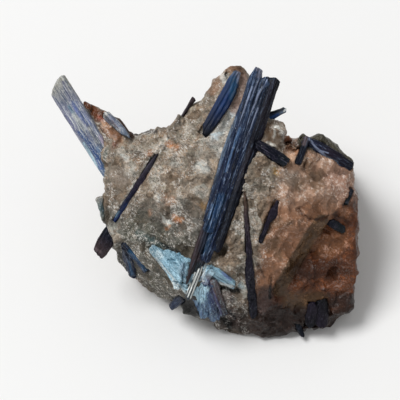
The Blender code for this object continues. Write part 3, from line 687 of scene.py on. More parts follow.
class QuartzFinish(Finish):
    """Quartz: a tint from the mesh with crystal faces, pale and dark flecks, painted glints, and long
    flecks of painted highlight with painted shade beside them.
    """

    def __init__(self, settings):
        super().__init__("quartz", roughness=0.5, shine=0.28)
        self.fleck = tuple(settings.fleck)
        self.pit = tuple(settings.pit)
        self.tint = self.attribute("tint", "Color")
        self.grit = self.attribute("grit", "Fac")
        self.slick = self.attribute("slick", "Fac")
        self.slant = self.attribute("scratch_place", "Vector")
        spot = self.millimetres()
        self.mottle = self.noise(spot, 0.26, detail=4.0, bend=0.6)
        self.warmth = self.noise(spot, 0.36, bend=1.0)
        self.wisp = self.noise(spot, 0.75, detail=5.0, rough=0.68, bend=1.4)
        self.sugar = self.noise(spot, 1.5, rough=0.7, bend=0.6)
        bent = self.warp(spot, 0.35, 3.0)
        self.face, self.face_height = self.grains(bent, FACE_SCALE)
        self.rim = self.rims(bent, FACE_SCALE)
        self.chip, self.chip_height = self.grains(self.warp(spot, 0.7, 1.4), 0.5)
        self.coarse, self.coarse_height = self.grains(self.warp(spot, 0.9, 0.9), 0.85)
        flakes = self.stretch(self.warp(self.slant, 0.8, 1.2), (0.8, 2.2, 1.6))
        self.fine, self.fine_height = self.grains(flakes, 1.0)
        self.speck = self.grains(self.stretch(self.slant, (1.6, 3.0, 2.4)), 1.0)[0]
        self.rough = self.worn(1.0, 0.0)
        self.grainy = self.span(self.face, 0.35, 0.65, 0.12, 1.0)
        self.cluster = self.times(self.span(self.warmth, 0.44, 0.6, 0.04, 1.0), self.grainy)
        # The glints are painted highlights: the tint made brighter, mixed with the pale fleck colour
        # where the quartz is rough or its tint light.
        lit = self.times(self.span(self.grey(self.tint), 0.05, 0.2), 0.7)
        self.glint = self.mix(self.plus(self.rough, lit), self.brighten(self.tint, 2.6), self.fleck)

    def worn(self, on_rough, on_slick):
        """A number that changes from rough quartz to slick quartz."""
        return self.span(self.slick, 0.0, 1.0, on_rough, on_slick)

    def ground(self):
        """The tint, lighter or darker and warmer or cooler from one crystal face to the next."""
        colour = self.brighten(self.tint, self.span(self.mottle, 0.34, 0.66, 0.76, 1.24))
        colour = self.brighten(colour, self.span(self.face, 0.0, 1.0, 0.72, 1.24))
        colour = self.brighten(colour, self.span(self.chip, 0.0, 1.0, 0.84, 1.16))
        colour = self.lay(colour, self.tint, self.slick, 0.5)
        warm = self.stretch(colour, (1.12, 0.97, 0.82))
        cool = self.stretch(colour, (0.9, 0.98, 0.98))
        colour = self.lay(colour, warm, self.span(self.warmth, 0.5, 0.62), self.rough)
        colour = self.lay(colour, cool, self.span(self.warmth, 0.5, 0.38), self.rough)
        colour = self.lay(colour, warm, self.span(self.face, 0.4, 0.2), self.rough, 0.6)
        speckled = self.brighten(colour, self.span(self.coarse, 0.0, 1.0, 0.88, 1.12))
        return self.lay(colour, speckled, self.rough, self.grainy)

    def wisps_and_ridges(self, colour, dark):
        """Pale and dark wisps through the quartz, and painted highlights along the ridges between its
        faces.
        """
        soft = self.worn(1.0, 0.45)
        pale = self.brighten(colour, 1.6)
        colour = self.lay(colour, pale, self.span(self.wisp, 0.53, 0.66), soft, 0.6)
        colour = self.lay(colour, dark, self.span(self.wisp, 0.47, 0.34), soft, 0.85)
        ridge = self.times(self.span(self.rim, 0.05, 0.015), self.span(self.sugar, 0.44, 0.52))
        bright = self.brighten(self.tint, 2.3)
        return self.lay(colour, bright, ridge, self.span(self.warmth, 0.48, 0.6), 0.8)

    def flecks(self, colour, dark):
        """Sugary grains, dark pits, two sizes of glints and dark chips."""
        sugary = self.span(self.sugar, 0.5, 0.64)
        colour = self.lay(colour, self.fleck, sugary, self.grit, self.grainy, 0.65)
        colour = self.lay(colour, self.pit, self.span(self.sugar, 0.42, 0.33), self.grit, 0.8)
        few = self.worn(1.0, 0.8)
        flakes = self.span(self.fine, 0.84, 0.9)
        colour = self.lay(colour, self.glint, flakes, self.cluster, few, 0.75)
        specks = self.span(self.speck, 0.88, 0.92)
        colour = self.lay(colour, self.glint, specks, self.cluster, few, 0.85)
        return self.lay(colour, dark, self.span(self.fine, 0.14, 0.08), self.worn(0.7, 0.1))

    def filaments(self, colour, dark):
        """Long bent lines of painted highlight, broken up into dashes, each with a line of painted
        shade beside it.
        """
        dashes = self.times(self.span(self.sugar, 0.5, 0.58), self.cluster)
        run = self.stretch(self.slant, (0.6, 1.2, 1.0))
        for scale, width in FILAMENTS:
            hair = self.noise(run, scale, detail=2.0, rough=0.5, bend=1.6)
            colour = self.lay(colour, dark, self.near(hair, 0.5 - 2.0 * width, width), dashes, 0.7)
            colour = self.lay(colour, self.glint, self.near(hair, 0.5, width), dashes)
        return colour

    def relief(self):
        """Heights of the grains, wisps, crystal faces and chips."""
        relief = self.plus(self.times(self.fine_height, 0.3), self.times(self.coarse_height, 0.7))
        relief = self.times(relief, self.worn(1.0, 0.35))
        relief = self.plus(relief, self.times(self.wisp, self.worn(0.9, 0.5)))
        relief = self.plus(relief, self.times(self.face_height, self.worn(3.6, 7.0)))
        return self.plus(relief, self.times(self.chip_height, 1.6))

    def finished(self):
        """The material with all of its layers."""
        colour = self.ground()
        dark = self.brighten(colour, 0.45)
        for layer in (self.wisps_and_ridges, self.flecks, self.filaments):
            colour = layer(colour, dark)
        return self.wear(colour, self.worn(0.48, 0.24), self.bump(self.relief(), 0.45))


def kyanite_finish(name, streak, dark, roughness, shine, dapple=0.0, cracks=0.0):
    """Striated kyanite: a tint from the mesh with streaks that run along the blade."""
    finish = Finish(name, roughness, shine)
    tint = finish.attribute("tint", "Color")
    amount = finish.attribute("streak", "Fac")
    along = finish.attribute("blade_place", "Vector")
    broad = finish.noise(finish.stretch(along, (0.6, 0.6, 0.04)), 1.0, bend=0.2)
    thread = finish.stretch(along, (2.1, 2.1, 0.12))
    thin = finish.noise(thread, 1.0, detail=4.0, rough=0.68, bend=0.6)
    hair = finish.noise(finish.stretch(along, (3.4, 3.4, 0.35)), 1.0, detail=2.0, bend=0.4)
    dot = finish.stretch(along, (2.4, 2.4, 0.9))
    specks = finish.noise(dot, 1.0, detail=2.0, rough=0.7, bend=0.6)
    scales = finish.noise(finish.stretch(along, (1.5, 1.5, 0.95)), 1.0, rough=0.62, bend=1.2)
    colour = finish.brighten(tint, finish.span(broad, 0.34, 0.66, 0.6, 1.5))
    deep = finish.span(amount, 0.0, 0.8, 0.3, 0.85)
    colour = finish.lay(colour, dark, finish.span(thin, 0.48, 0.38), deep)
    colour = finish.lay(colour, streak, finish.span(thin, 0.58, 0.66), amount)
    colour = finish.lay(colour, streak, finish.span(hair, 0.6, 0.68), amount, 0.7)
    colour = finish.lay(colour, dark, finish.span(hair, 0.44, 0.36), amount, 0.6)
    # Painted glints: small pale specks along the blade.
    colour = finish.lay(colour, BONE, finish.span(specks, 0.66, 0.76), amount, 0.6)
    colour = finish.lay(colour, dark, finish.span(scales, 0.47, 0.36), dapple)
    colour = finish.lay(colour, streak, finish.span(scales, 0.55, 0.66), dapple)
    if cracks:
        for scale, width in CRACKS:
            split = finish.noise(finish.stretch(along, (1.0, 1.0, 0.6)), scale, rough=0.5, bend=1.8)
            colour = finish.lay(colour, dark, finish.near(split, 0.5, width), cracks)
    uneven = finish.span(thin, 0.3, 0.7, roughness - 0.08, roughness + 0.22)
    relief = finish.plus(finish.times(thin, 0.6), finish.times(hair, 0.4))
    relief = finish.plus(relief, finish.times(scales, dapple))
    return finish.wear(colour, uneven, finish.bump(relief, 0.4))


PATCHES = {
    "smooth patch at the left": Mark(((-32.0, 9.6),), 3.6, SMOOTH_GREY, 0.8, grit=0.0),
    "smooth patch by the pale blade": Mark(((-36.0, 13.6),), 2.0, SMOOTH_GREY, 0.6, grit=0.1),
    # Painted shade on the lower left of the face, where it turns down towards the flank.
    "green shade, left": Mark(((-24.0, -10.0),), 6.0, SHADE_GREEN, 0.8, grit=0.3),
    "green shade, middle": Mark(((-15.6, -13.6),), 4.8, SHADE_GREEN, 0.8, grit=0.25),
    "green shade, right": Mark(((-5.6, -17.2),), 4.0, SHADE_GREEN, 0.6, grit=0.2),
    "dark rock by the lower left blades": Mark(
        ((-31.2, -21.6), (-29.6, -26.4)), 1.8, GREEN_BLACK, 0.7, grit=0.1,
    ),
    "dark rock between the lower left blades": Mark(
        ((-28.8, -20.8), (-25.6, -26.4)), 0.9, GREEN_BLACK, 0.7, grit=0.1,
    ),
    "pale grains by the stub": Mark(((-34.8, -13.6),), 3.4, SUGAR_GREY, 0.9, grit=0.9),
    "sugary spot, middle": Mark(((-9.2, 14.0),), 2.4, SUGAR_GREY, 0.9, grit=1.0),
    "white spot by the bundle": Mark(((1.2, 13.2),), 2.8, SUGAR_WHITE, 0.7, grit=1.0),
    "sugary spot, left": Mark(((-28.0, 12.0),), 2.8, SUGAR_GREY, 0.8, grit=1.0),
    "white spot, upper left": Mark(((-32.0, 19.2), (-29.6, 17.2)), 1.6, SUGAR_WHITE, 0.7, grit=1.0),
    "white spot, lower left": Mark(((-17.2, 0.8),), 1.6, SUGAR_WHITE, 0.7, grit=1.0),
    "sugary run by the bundle": Mark(((-4.0, 6.0), (2.0, 3.2)), 2.8, SUGAR_GREY, 0.7, grit=0.9),
    "sugary run, upper": Mark(((3.2, 22.0), (8.8, 20.0)), 3.6, SUGAR_GREY, 0.8, grit=0.9),
    "white run by the upper blade": Mark(
        ((12.8, 37.2), (8.0, 29.6)), 2.8, SUGAR_WHITE, 0.95, grit=0.55,
    ),
    "cool white foot of the strip": Mark(
        ((14.0, 35.6), (10.0, 30.8), (6.0, 26.0)), 2.0, COOL_WHITE, 0.9, grit=0.4,
    ),
    "bluish flake": Mark(((-14.4, -7.6), (-11.6, -10.0)), 0.7, SUGAR_WHITE, 0.9, grit=0.6),
    "orange stain, upper left": Mark(((-20.4, 18.8),), 1.5, ORANGE, 0.8, grit=0.2),
    "orange stain, top": Mark(((-12.8, 22.8), (-9.2, 21.2)), 1.2, ORANGE, 0.75, grit=0.3),
    "pale edge of the top stain": Mark(((-7.6, 23.2),), 1.0, CREAM, 0.6, grit=0.8),
    "orange stain, lower right": Mark(((-10.4, -6.8), (-7.2, -8.0)), 1.0, ORANGE, 0.9, grit=0.3),
    "orange stain, lower left": Mark(((-14.0, -11.6), (-11.6, -10.8)), 0.6, ORANGE, 0.8, grit=0.3),
    "pink spot, lower left": Mark(((-20.0, -4.8),), 1.3, PINK_BROWN, 0.7, grit=0.3),
    "ochre spot by the bundle": Mark(((1.2, -2.0),), 1.5, OCHRE, 0.5, grit=0.5),
    "pink spot, middle": Mark(((-12.0, 0.0),), 2.4, PINK_BROWN, 0.6, grit=0.5),
    "brown spot, middle": Mark(((-16.0, 16.0),), 2.4, DUST_BROWN, 0.6, grit=0.2),
    "brown spot, upper left": Mark(((-25.2, 17.6),), 2.0, DUST_BROWN, 0.7, grit=0.1),
    "brown streak, middle": Mark(((-2.0, 16.0), (-6.0, 7.2)), 1.0, DUST_BROWN, 0.5, grit=0.2),
    "right knob": Mark(((30.0, 24.8),), 4.6, SMOOTH_GREY, 0.9, grit=0.8),
    "brown of the knob": Mark(((27.6, 30.0), (27.6, 22.4)), 1.6, DUST_BROWN, 0.9, grit=0.1),
    "brown heart of the knob": Mark(((31.2, 27.6), (31.6, 24.8)), 0.8, DUST_BROWN, 0.8, grit=0.1),
    "top of the knob": Mark(((28.4, 31.2), (31.2, 30.6)), 0.5, DUST_BROWN, 0.8, grit=0.1),
    "glints of the knob": Mark(
        ((30.4, 29.0), (33.4, 26.4), (33.2, 22.0)), 0.5, SUGAR_WHITE, 0.9, grit=0.3,
    ),
    "inner glints of the knob": Mark(((29.2, 27.2), (30.0, 25.2)), 0.4, SUGAR_WHITE, 0.9, grit=0.8),
    "glint at the foot of the knob": Mark(
        ((27.6, 22.8), (29.6, 21.2)), 0.5, SUGAR_WHITE, 0.9, grit=0.3,
    ),
    "smooth foot of the knob": Mark(((32.4, 19.6),), 2.0, SMOOTH_GREY, 0.8, grit=0.0),
    "rust lobe": Mark(((35.2, 24.2),), 2.0, RUST_BROWN, 1.0, grit=0.1),
    "rust crust": Mark(((35.2, 20.0), (38.4, 19.6)), 1.4, RUST_PALE, 0.9, grit=0.1),
    "peach skin": Mark(((36.0, 17.2),), 2.6, PEACH, 0.9, grit=0.2),
    "ochre drop": Mark(((30.6, 12.6), (30.4, 10.4)), 1.1, OCHRE, 0.9, grit=0.1),
    "smooth boss": Mark(((36.4, 8.8),), 3.8, SMOOTH_GREY, 0.75, grit=0.0),
    "brown hollow": Mark(((39.6, 5.6),), 2.0, DUST_BROWN, 0.8, grit=0.1),
    "smooth pink shell": Mark(((55.2, 8.8), (58.4, 4.0)), 5.2, PINK_SMOOTH, 0.8, grit=0.0),
    "orange tongue": Mark(((45.2, -3.2),), 3.6, RUST_PALE, 0.6, grit=0.1),
    "rust at the right end": Mark(((58.4, -5.2),), 2.4, RUST_PALE, 0.6, grit=0.2),
    "pale rust": Mark(((50.0, -18.4), (55.2, -16.0)), 4.4, RUST_PALE, 0.6, grit=0.3),
    "dark rust": Mark(((40.0, -28.0), (57.0, -27.2)), 3.6, DARK_RUST, 0.65, grit=0.2),
    "rust at the lower end": Mark(((58.4, -35.6),), 2.4, RUST_BROWN, 0.7, grit=0.2),
    "dark rock by the lower bundle": Mark(
        ((51.6, -40.0), (60.0, -39.2)), 2.6, DARK_CRUST_AND_SHADE, 0.85, grit=0.1,
    ),
    "dark rock under the flats": Mark(((30.0, -46.8), (42.0, -46.4)), 2.4, DARK_CRUST_AND_SHADE, 0.7, grit=0.2),
    "smooth brown flats": Mark(((36.0, -39.6), (47.2, -40.0)), 3.2, BAND_BROWN, 0.8, grit=0.0),
    # Painted shade along the lower edge, where the quartz turns under.
    "black lower edge": Mark(
        ((22.0, -52.4), (33.0, -53.2), (40.8, -50.8)), 2.0, DARK_CRUST_AND_SHADE, 0.8, grit=0.1,
    ),
    "purple grains": Mark(((25.6, -36.8), (24.8, -43.2)), 3.2, PURPLE_BROWN, 0.8, grit=0.4),
    "lavender grains": Mark(((10.4, -38.4),), 3.2, LAVENDER_BROWN, 0.7, grit=0.4),
    "purple foot": Mark(((11.6, -44.8), (14.4, -48.8)), 2.4, PURPLE_BROWN, 0.7, grit=0.3),
    "bluish specks": Mark(((16.8, -34.8),), 1.5, ICE, 0.6, grit=1.0),
    "lavender under the wing": Mark(((3.6, -30.4), (5.6, -32.8)), 1.6, LAVENDER_BROWN, 0.8, grit=0.2),
    "orange cap of the top knob": Mark(((12.8, 53.2),), 2.0, RUST_PALE, 0.9, grit=0.1),
    "brown edge of the top knob": Mark(((7.2, 45.6), (5.2, 42.8)), 1.3, RUST_PALE, 0.6, grit=0.3),
    "brown skin of the top knob": Mark(
        ((4.0, 44.0), (6.4, 47.2), (9.6, 51.0), (14.0, 53.6), (18.0, 50.4)), 1.7, KNOB_BROWN, 0.85,
        grit=0.1,
    ),
    "white of the top knob": Mark(((10.0, 48.8),), 1.6, SUGAR_WHITE, 0.8, grit=0.6),
    "pink strip by the bundle": Mark(
        ((16.8, 48.0), (15.6, 42.0), (13.6, 36.4)), 2.3, PINK_PALE, 0.9, grit=0.1,
    ),
    "rust by the pale blade": Mark(
        ((-46.0, 39.2), (-43.6, 37.2), (-41.2, 32.8)), 1.5, RUST_BROWN, 1.0, grit=0.1,
    ),
    "rust along the skyline": Mark(((-44.0, 38.0), (-38.8, 34.4)), 1.3, RUST_BROWN, 0.9, grit=0.1),
    "red drop": Mark(((-39.6, 32.8),), 1.4, RED_RUST, 0.9, grit=0.0),
    "rust run": Mark(((-37.6, 29.6), (-32.8, 24.8)), 2.0, RUST_PALE, 0.75, grit=0.3),
    "dark rust over the spur": Mark(
        ((-35.6, 34.6), (-31.2, 31.8), (-27.2, 26.0)), 1.5, DARK_RUST, 0.95, grit=0.0,
    ),
    "dark line in the rust": Mark(((-40.8, 30.4), (-37.2, 25.2)), 0.36, DARK_RUST, 0.9, grit=0.0),
    "pink line in the rust": Mark(
        ((-39.4, 31.2), (-36.0, 27.2), (-34.4, 24.4)), 0.4, PEACH, 0.7, grit=0.2,
    ),
    "pale line in the rust": Mark(((-37.2, 28.4), (-33.6, 24.0)), 0.3, PINK_PALE, 0.8, grit=0.2),
    "red spot": Mark(((-34.4, 22.0),), 1.4, RED_RUST, 0.6, grit=0.2),
}
SEAMS = {
    # Painted shadow under the ledge over the plate, laid in a shallow cut hollow.
    "ledge over the plate": Mark(
        ((-19.2, -14.8), (-16.0, -17.6), (-12.0, -20.0), (-8.4, -21.2)), 0.8, GREEN_BLACK, 0.95,
        grit=0.0, depth=0.8,
    ),
    # Painted shade below the ledge, a soft teal-grey over the plate.
    "teal shade over the plate": Mark(
        ((-24.8, -13.2), (-20.0, -16.0), (-16.8, -18.4)), 1.6, TEAL_GREY, 0.6,
    ),
    # Painted shadow under the wing, laid in a cut hollow.
    "hollow under the wing": Mark(
        ((4.8, -34.0), (9.6, -34.8), (14.8, -36.4)), 0.96, PITCH, 0.97, grit=0.0, depth=1.3,
    ),
    # Painted shade in the hollow beside the fan.
    "hollow beside the fan": Mark(
        ((8.4, -44.4), (10.0, -47.6), (12.0, -50.4)), 1.3, PITCH, 0.9, grit=0.0, depth=1.4,
    ),
    "ridge beside the fan": Mark(
        ((8.0, -41.2), (11.6, -44.4), (14.4, -48.0)), 0.4, INK, 0.8, grit=0.0, depth=0.3,
    ),
    # Painted shade in the crack.
    "crack in the purple": Mark(
        ((28.4, -30.8), (27.6, -34.8), (28.4, -38.8)), 0.5, PITCH, 0.9, grit=0.0, depth=0.5,
    ),
    # Painted shade in the crack by the cross blade.
    "crack by the cross blade": Mark(
        ((29.2, 20.8), (32.4, 17.6)), 0.4, DARK_CRUST_AND_SHADE, 0.9, grit=0.0, depth=0.4,
    ),
    "shade behind the knob": Mark(
        ((25.6, 28.0), (24.8, 22.0)), 0.6, DARK_CRUST_AND_SHADE, 0.5, grit=0.0, depth=0.3,
    ),
    # Painted shade in the crack at the right end.
    "crack at the right end": Mark(
        ((58.0, -1.6), (60.4, 2.4)), 0.5, DARK_CRUST_AND_SHADE, 0.8, grit=0.0, depth=0.5,
    ),
    "edge of the tongue": Mark(
        ((39.2, -3.6), (42.4, -6.8), (46.4, -8.4), (50.8, -6.4)), 0.6, DARK_RUST, 0.8, grit=0.0,
        depth=0.5,
    ),
    "needle": Mark(((47.6, 17.0), (46.8, 15.6)), 0.36, DARK_CRUST_AND_SHADE, 0.8, grit=0.0, depth=-0.2),
    "pale line over the hidden blade": Mark(((-16.4, 19.2), (-13.6, 24.8)), 0.32, SUGAR_WHITE, 0.7),
    "pale line beside the slanting blade": Mark(
        ((-16.8, 21.2), (-22.4, 12.4), (-28.8, 2.0), (-33.6, -5.6)), 0.36, SUGAR_WHITE, 0.7,
    ),
    "dark line over the hidden blade": Mark(((-13.2, 25.2), (-7.6, 33.4)), 0.34, DARK_CRUST_AND_SHADE, 0.85),
    "shade by the spur": Mark(
        ((-38.4, 34.0), (-34.8, 30.0)), 0.6, DARK_CRUST_AND_SHADE, 0.9, grit=0.0, depth=0.3,
    ),
    # Painted shade in the hollow of the top knob.
    "hollow of the top knob": Mark(((10.8, 50.4), (10.4, 48.8)), 0.64, PITCH, 0.9, grit=0.0, depth=0.8),
    "edge of the orange cap": Mark(((12.0, 53.6), (14.8, 53.6), (17.2, 51.2)), 0.5, DARK_RUST, 0.7),
    "black skyline crust": Mark(((-27.2, 26.2), (-24.8, 27.2), (-17.2, 27.6)), 0.9, DARK_CRUST_AND_SHADE, 0.95),
    "black fringe": Mark(((34.8, 22.4), (37.2, 21.2), (40.0, 21.2)), 0.64, DARK_CRUST_AND_SHADE, 0.95),
    "shade by the pale blade": Mark(((-37.6, 20.8), (-38.4, 14.0), (-39.2, 6.0)), 0.5, TEAL_GREY, 0.6),
    # Painted shade in the seam between the long narrow blade and the quartz.
    "seam by the narrow blade": Mark(
        ((22.4, -24.8), (25.6, -30.4)), 0.56, GREEN_BLACK, 0.6, grit=0.0, depth=0.4,
    ),
}
BOULDER = Mark(((-3.6, -42.8),), 5.0, PITCH, 0.95)
GLAZES = {
    "rust wedge by the pale blade": Mark(
        ((-44.8, 38.4), (-40.4, 34.0), (-37.6, 30.4)), 2.4, strength=1.0,
    ),
    "rust crust over the spur": Mark(((-38.0, 34.4), (-31.6, 31.2), (-27.2, 25.2)), 1.8, strength=0.9),
    "rust run": Mark(((-39.2, 31.2), (-33.2, 24.4)), 2.8, strength=0.7),
    "smooth patch at the left": Mark(((-32.0, 9.6),), 4.0, strength=0.9),
    "knob": Mark(((30.0, 25.6),), 5.6, strength=0.6),
    "boss": Mark(((36.4, 8.8),), 4.4, strength=0.9),
    "pink shell": Mark(((55.2, 10.0), (58.4, 2.0)), 6.0, strength=0.8),
    "olive cap": Mark(((43.2, 25.2), (50.0, 25.6), (56.0, 20.4)), 3.6, strength=0.9),
    "bump": Mark(((40.4, 24.8),), 2.0, strength=0.9),
    "brown flats": Mark(((34.0, -39.6), (50.0, -40.0)), 3.6, strength=0.7),
    "boulder": BOULDER,
    "top knob strip": Mark(((16.4, 48.0), (14.8, 36.0)), 2.4, strength=0.8),
    "top knob skin": Mark(
        ((4.0, 44.0), (6.4, 47.2), (9.6, 51.0), (14.0, 53.6), (18.0, 50.4)), 2.4, strength=0.8,
    ),
}
SHEETS = {
    "plate": Mark(((-17.6, -20.4), (-10.0, -25.2), (-6.4, -31.2)), 4.0),
    "sliver": Mark(((-9.6, -33.6), (-6.4, -37.6)), 1.8),
    "fan": Mark(((0.4, -34.4), (2.4, -41.6), (4.8, -46.4)), 3.6),
    "wing": Mark(((4.0, -27.2), (12.4, -33.2)), 2.2),
}
# The step band, a steep face turned down and to the right; the dark brown laid on it is painted shade.
BAND = Mark(((48.6, -8.2), (43.0, -16.6), (36.6, -27.4), (31.6, -36.0)), 2.7)
# Lines on the show face that part its regions.
WARM_LINE = ((20.0, -38.0), (31.0, 14.0))
RUST_LINE = ((28.8, -34.0), (56.5, -1.0))
SUGAR_LINE = ((-1.0, 8.0), (14.0, 46.0))
FLANK_LINE = ((-38.0, -8.0), (2.0, -26.0))
CAP_LINE = ((40.0, 20.5), (60.0, 13.0))
# Boxes of crust along the left edge and on the rust wedge: their centres and half sizes.
EDGE_CRUST = (
    ((-36.9, -2.0, 5.0), (1.3, 4.0, 2.0)), ((-37.0, -6.6, 5.4), (1.2, 2.0, 2.2)),
    ((-44.1, 36.8, 8.0), (0.9, 0.9, 1.4)), ((-44.9, 37.7, 8.2), (0.7, 0.7, 1.2)),
    ((-45.5, 38.4, 8.4), (0.5, 0.5, 1.0)),
)
# Lumps that stand out of the skyline: sighted places and half widths.
RUST_LOBE = ((34.6, 24.4, 1.2), (36.0, 24.0, 0.8))
BLACK_FRINGE = ((35.6, 21.8, 0.5), (36.8, 21.6, 0.6), (37.9, 21.0, 0.5), (39.0, 21.7, 0.6))


def bend(points):
    """Points moved a little so that the borders of grains aren't straight."""
    shifts = [soft_noise(points, BEND_SIZE, ROCK_SEED + k) - 0.5 for k in (1, 2, 3)]
    return points + BEND_REACH * np.stack(shifts, axis=1)


def rock_regions(points):
    """How far each layout point of the lump belongs to its regions, from 0 to 1."""
    wander = np.stack([rough_noise(points, 6.0, ROCK_SEED + k) - 0.5 for k in (20, 30)], axis=1)
    spots = sighted(points) + REGION_WANDER * wander
    x, y = spots.T
    depth = points[:, 2] + DEPTH_WANDER * (rough_noise(points, 8.0, ROCK_SEED + 50) - 0.5)
    face = ease(depth, -4.0, 2.0)
    front = ease(depth, -22.0, -8.0)
    glazes = [mark.cover(spots) * mark.strength for mark in GLAZES.values()]
    return {
        "front": front,
        "marked": front * np.maximum(ease(depth, -12.0, -4.0), ease(y, 0.0, -20.0)),
        # Painted shade: darker towards the lower left of the show face.
        "dim": ease(y, 5.0, -8.0) * ease(x, 8.0, 1.0),
        "left": front * ease(x, 16.0, 8.0),
        "warm": ease(beside(spots, WARM_LINE), -2.0, 4.0) * ease(x, 14.0, 22.0),
        "rusty": ease(beside(spots, RUST_LINE), -1.0, 1.5) * ease(x, 20.0, 26.0),
        # The step band, whose dark brown is painted shade.
        "band": BAND.cover(sighted(points) + BAND_WANDER * wander, 0.16),
        "glaze": face * np.max(glazes, axis=0),
        # Painted shade: darker towards the bottom, where the lump turns under.
        "deep": ease(y, -37.0, -46.0) * ease(x, -2.0, 8.0),
        "sugar": ease(beside(spots, SUGAR_LINE), -6.0, 0.0) * ease(y, -4.0, 16.0) * ease(x, 24.0, 18.0),
        "salt": ease(x, 12.0, 15.0) * ease(x, 23.0, 20.0) * ease(y, -40.0, -30.0),
        # Painted shade: the lower left flank, below FLANK_LINE.
        "flank": ease(beside(spots, FLANK_LINE), -5.0, 2.0) * ease(x, 4.0, 0.0),
        "cap": ease(beside(spots, CAP_LINE), 0.5, -1.5) * ease(x, 38.0, 40.0) * face,
    }


def rock_colours(points, normals, grain):
    """The tint of each layout point of the lump, its grittiness and how slick it is."""
    region = rock_regions(points)
    jag = np.stack([soft_noise(points, 1.6, ROCK_SEED + k) - 0.5 for k in (70, 71)], axis=1)
    spots = sighted(points) + 2.0 * jag
    cool = rough_noise(points, 9.0, ROCK_SEED + 40, 4)
    washes = (
        (SMOOTH_GREY, ease(cool, 0.52, 0.4) * 0.6),
        (SUGAR_GREY, ease(cool, 0.56, 0.66) * 0.5),
        (SUGAR_GREY, region["sugar"] * 0.6),
        # Painted shade on the lower left of the show face.
        (DIM_GREY, region["dim"] * 0.8),
        (STONE_GREY, region["salt"] * 0.6),
        # Painted shade on the lower left flank.
        (SHADE_GREEN, region["flank"] * 0.6),
        (PINK_BROWN, region["warm"]),
        (WARM_BROWN, region["warm"] * ease(spots[:, 1], 2.0, -7.0) * 0.9),
        (DUST_BROWN, region["warm"] * ease(cool, 0.5, 0.38) * 0.7),
        # Rust of the lower right; its darkness is partly painted shade of that side, which faces down
        # away from the lamp.
        (RUST_BROWN, region["rusty"]),
        (DARK_RUST, region["rusty"] * ease(cool, 0.52, 0.4) * 0.8),
        # Painted shade on the step face of the band.
        (BAND_BROWN, region["band"] * 0.9),
        # Painted shade of the underside, darker towards the bottom.
        (BOTTOM_BROWN, region["deep"] * 0.9),
        (OLIVE, region["cap"] * 0.95),
    )
    colours = np.tile(np.array(TAUPE), (len(points), 1))
    for colour, mask in washes:
        colours = blend(colours, colour, mask)
    grit = 0.9 * ease(cool, 0.46, 0.62)
    grit = grit + 0.3 * region["sugar"] + 0.6 * region["salt"]
    grit = grit * (1.0 - 0.8 * region["warm"]) * (1.0 - 0.9 * region["band"])
    seen = region["marked"] * ease(normals[:, 2], -0.5, 0.0)
    for mark in (*PATCHES.values(), *SEAMS.values()):
        cover = mark.cover(spots) * mark.strength * seen
        colours = blend(colours, mark.colour, cover)
        if mark.grit is not None:
            grit = grit + (mark.grit - grit) * cover
    boulder = BOULDER.cover(sighted(points), 0.2) * BOULDER.strength
    colours = blend(colours, BOULDER.colour, boulder)
    wall = 1.0 - region["front"]
    colours = blend(colours, WALL_GREY, wall * 0.7)
    rust = ease(rough_noise(points, 22.0, ROCK_SEED + 80), 0.5, 0.66) * wall
    colours = blend(colours, RUST_BROWN, rust * 0.7)
    grit = np.clip(grit, 0.0, 1.0)
    bent = bend(points)
    large = nearest_cell(bent / (4.0 * grain), ROCK_SEED + 4)[1][:, 1]
    small = nearest_cell(bent / (2.0 * grain), ROCK_SEED + 6)[1][:, 1]
    colours = colours * (0.8 + 0.4 * (0.5 * (large + small)))[:, None]
    slick = np.clip(1.2 * (region["warm"] + region["band"]) - grit, 0.0, 1.0)
    return colours, grit * (1.0 - region["glaze"]), np.maximum(slick, region["glaze"])


def rock_relief(points, region, grain):
    """Heights of the broken faces of the lump, from the largest to the smallest."""
    slick = np.clip(region["warm"] + region["band"], 0.0, 1.0)
    small = 1.0 - 0.5 * region["left"]
    calm = 1.0 - 0.75 * np.maximum(region["glaze"], region["band"])
    walls = np.maximum(1.0 - region["front"], ease(points[:, 0], 55.0, 59.0))
    bent = bend(points)
    relief = 2.2 * (1.0 - slick) * fractures(bent, 4.0 * grain, ROCK_SEED + 4)
    relief += 3.2 * slick * fractures(bent, 5.0 * grain, ROCK_SEED + 12)
    relief += small * (1.3 - 0.4 * slick) * fractures(bent, 2.0 * grain, ROCK_SEED + 20)
    relief += small * 0.7 * (1.0 - 0.6 * slick) * fractures(bent, grain, ROCK_SEED + 28)
    relief += small * 0.3 * (1.0 - 0.9 * slick) * facets(bent, 0.6 * grain, ROCK_SEED + 9)
    return calm * (relief + 0.6) * (1.0 - 0.45 * walls)


def rock_shift(points, normals, clear, grain):
    """How far each point of the lump moves out, in millimetres.

    clear is 0 beside the blades and 1 well away from them.
    """
    region = rock_regions(points)
    spots = sighted(points)
    facing = ease(normals[:, 2], 0.0, 0.4)
    ragged = ease(soft_noise(points, 1.8, ROCK_SEED + 60), 0.4, 0.75)
    lip = (0.55 - 0.25 * region["left"]) * ragged
    shift = ROCK_SWELL + (0.1 + lip) * (1.0 - clear) + clear * rock_relief(points, region, grain)
    sheet = np.max([mark.cover(spots, 0.3) for mark in SHEETS.values()], axis=0) * facing
    shift += sheet * (ROCK_SWELL - shift)
    for mark in SEAMS.values():
        if mark.depth:
            shift -= mark.depth * mark.cover(spots) * facing
    return shift


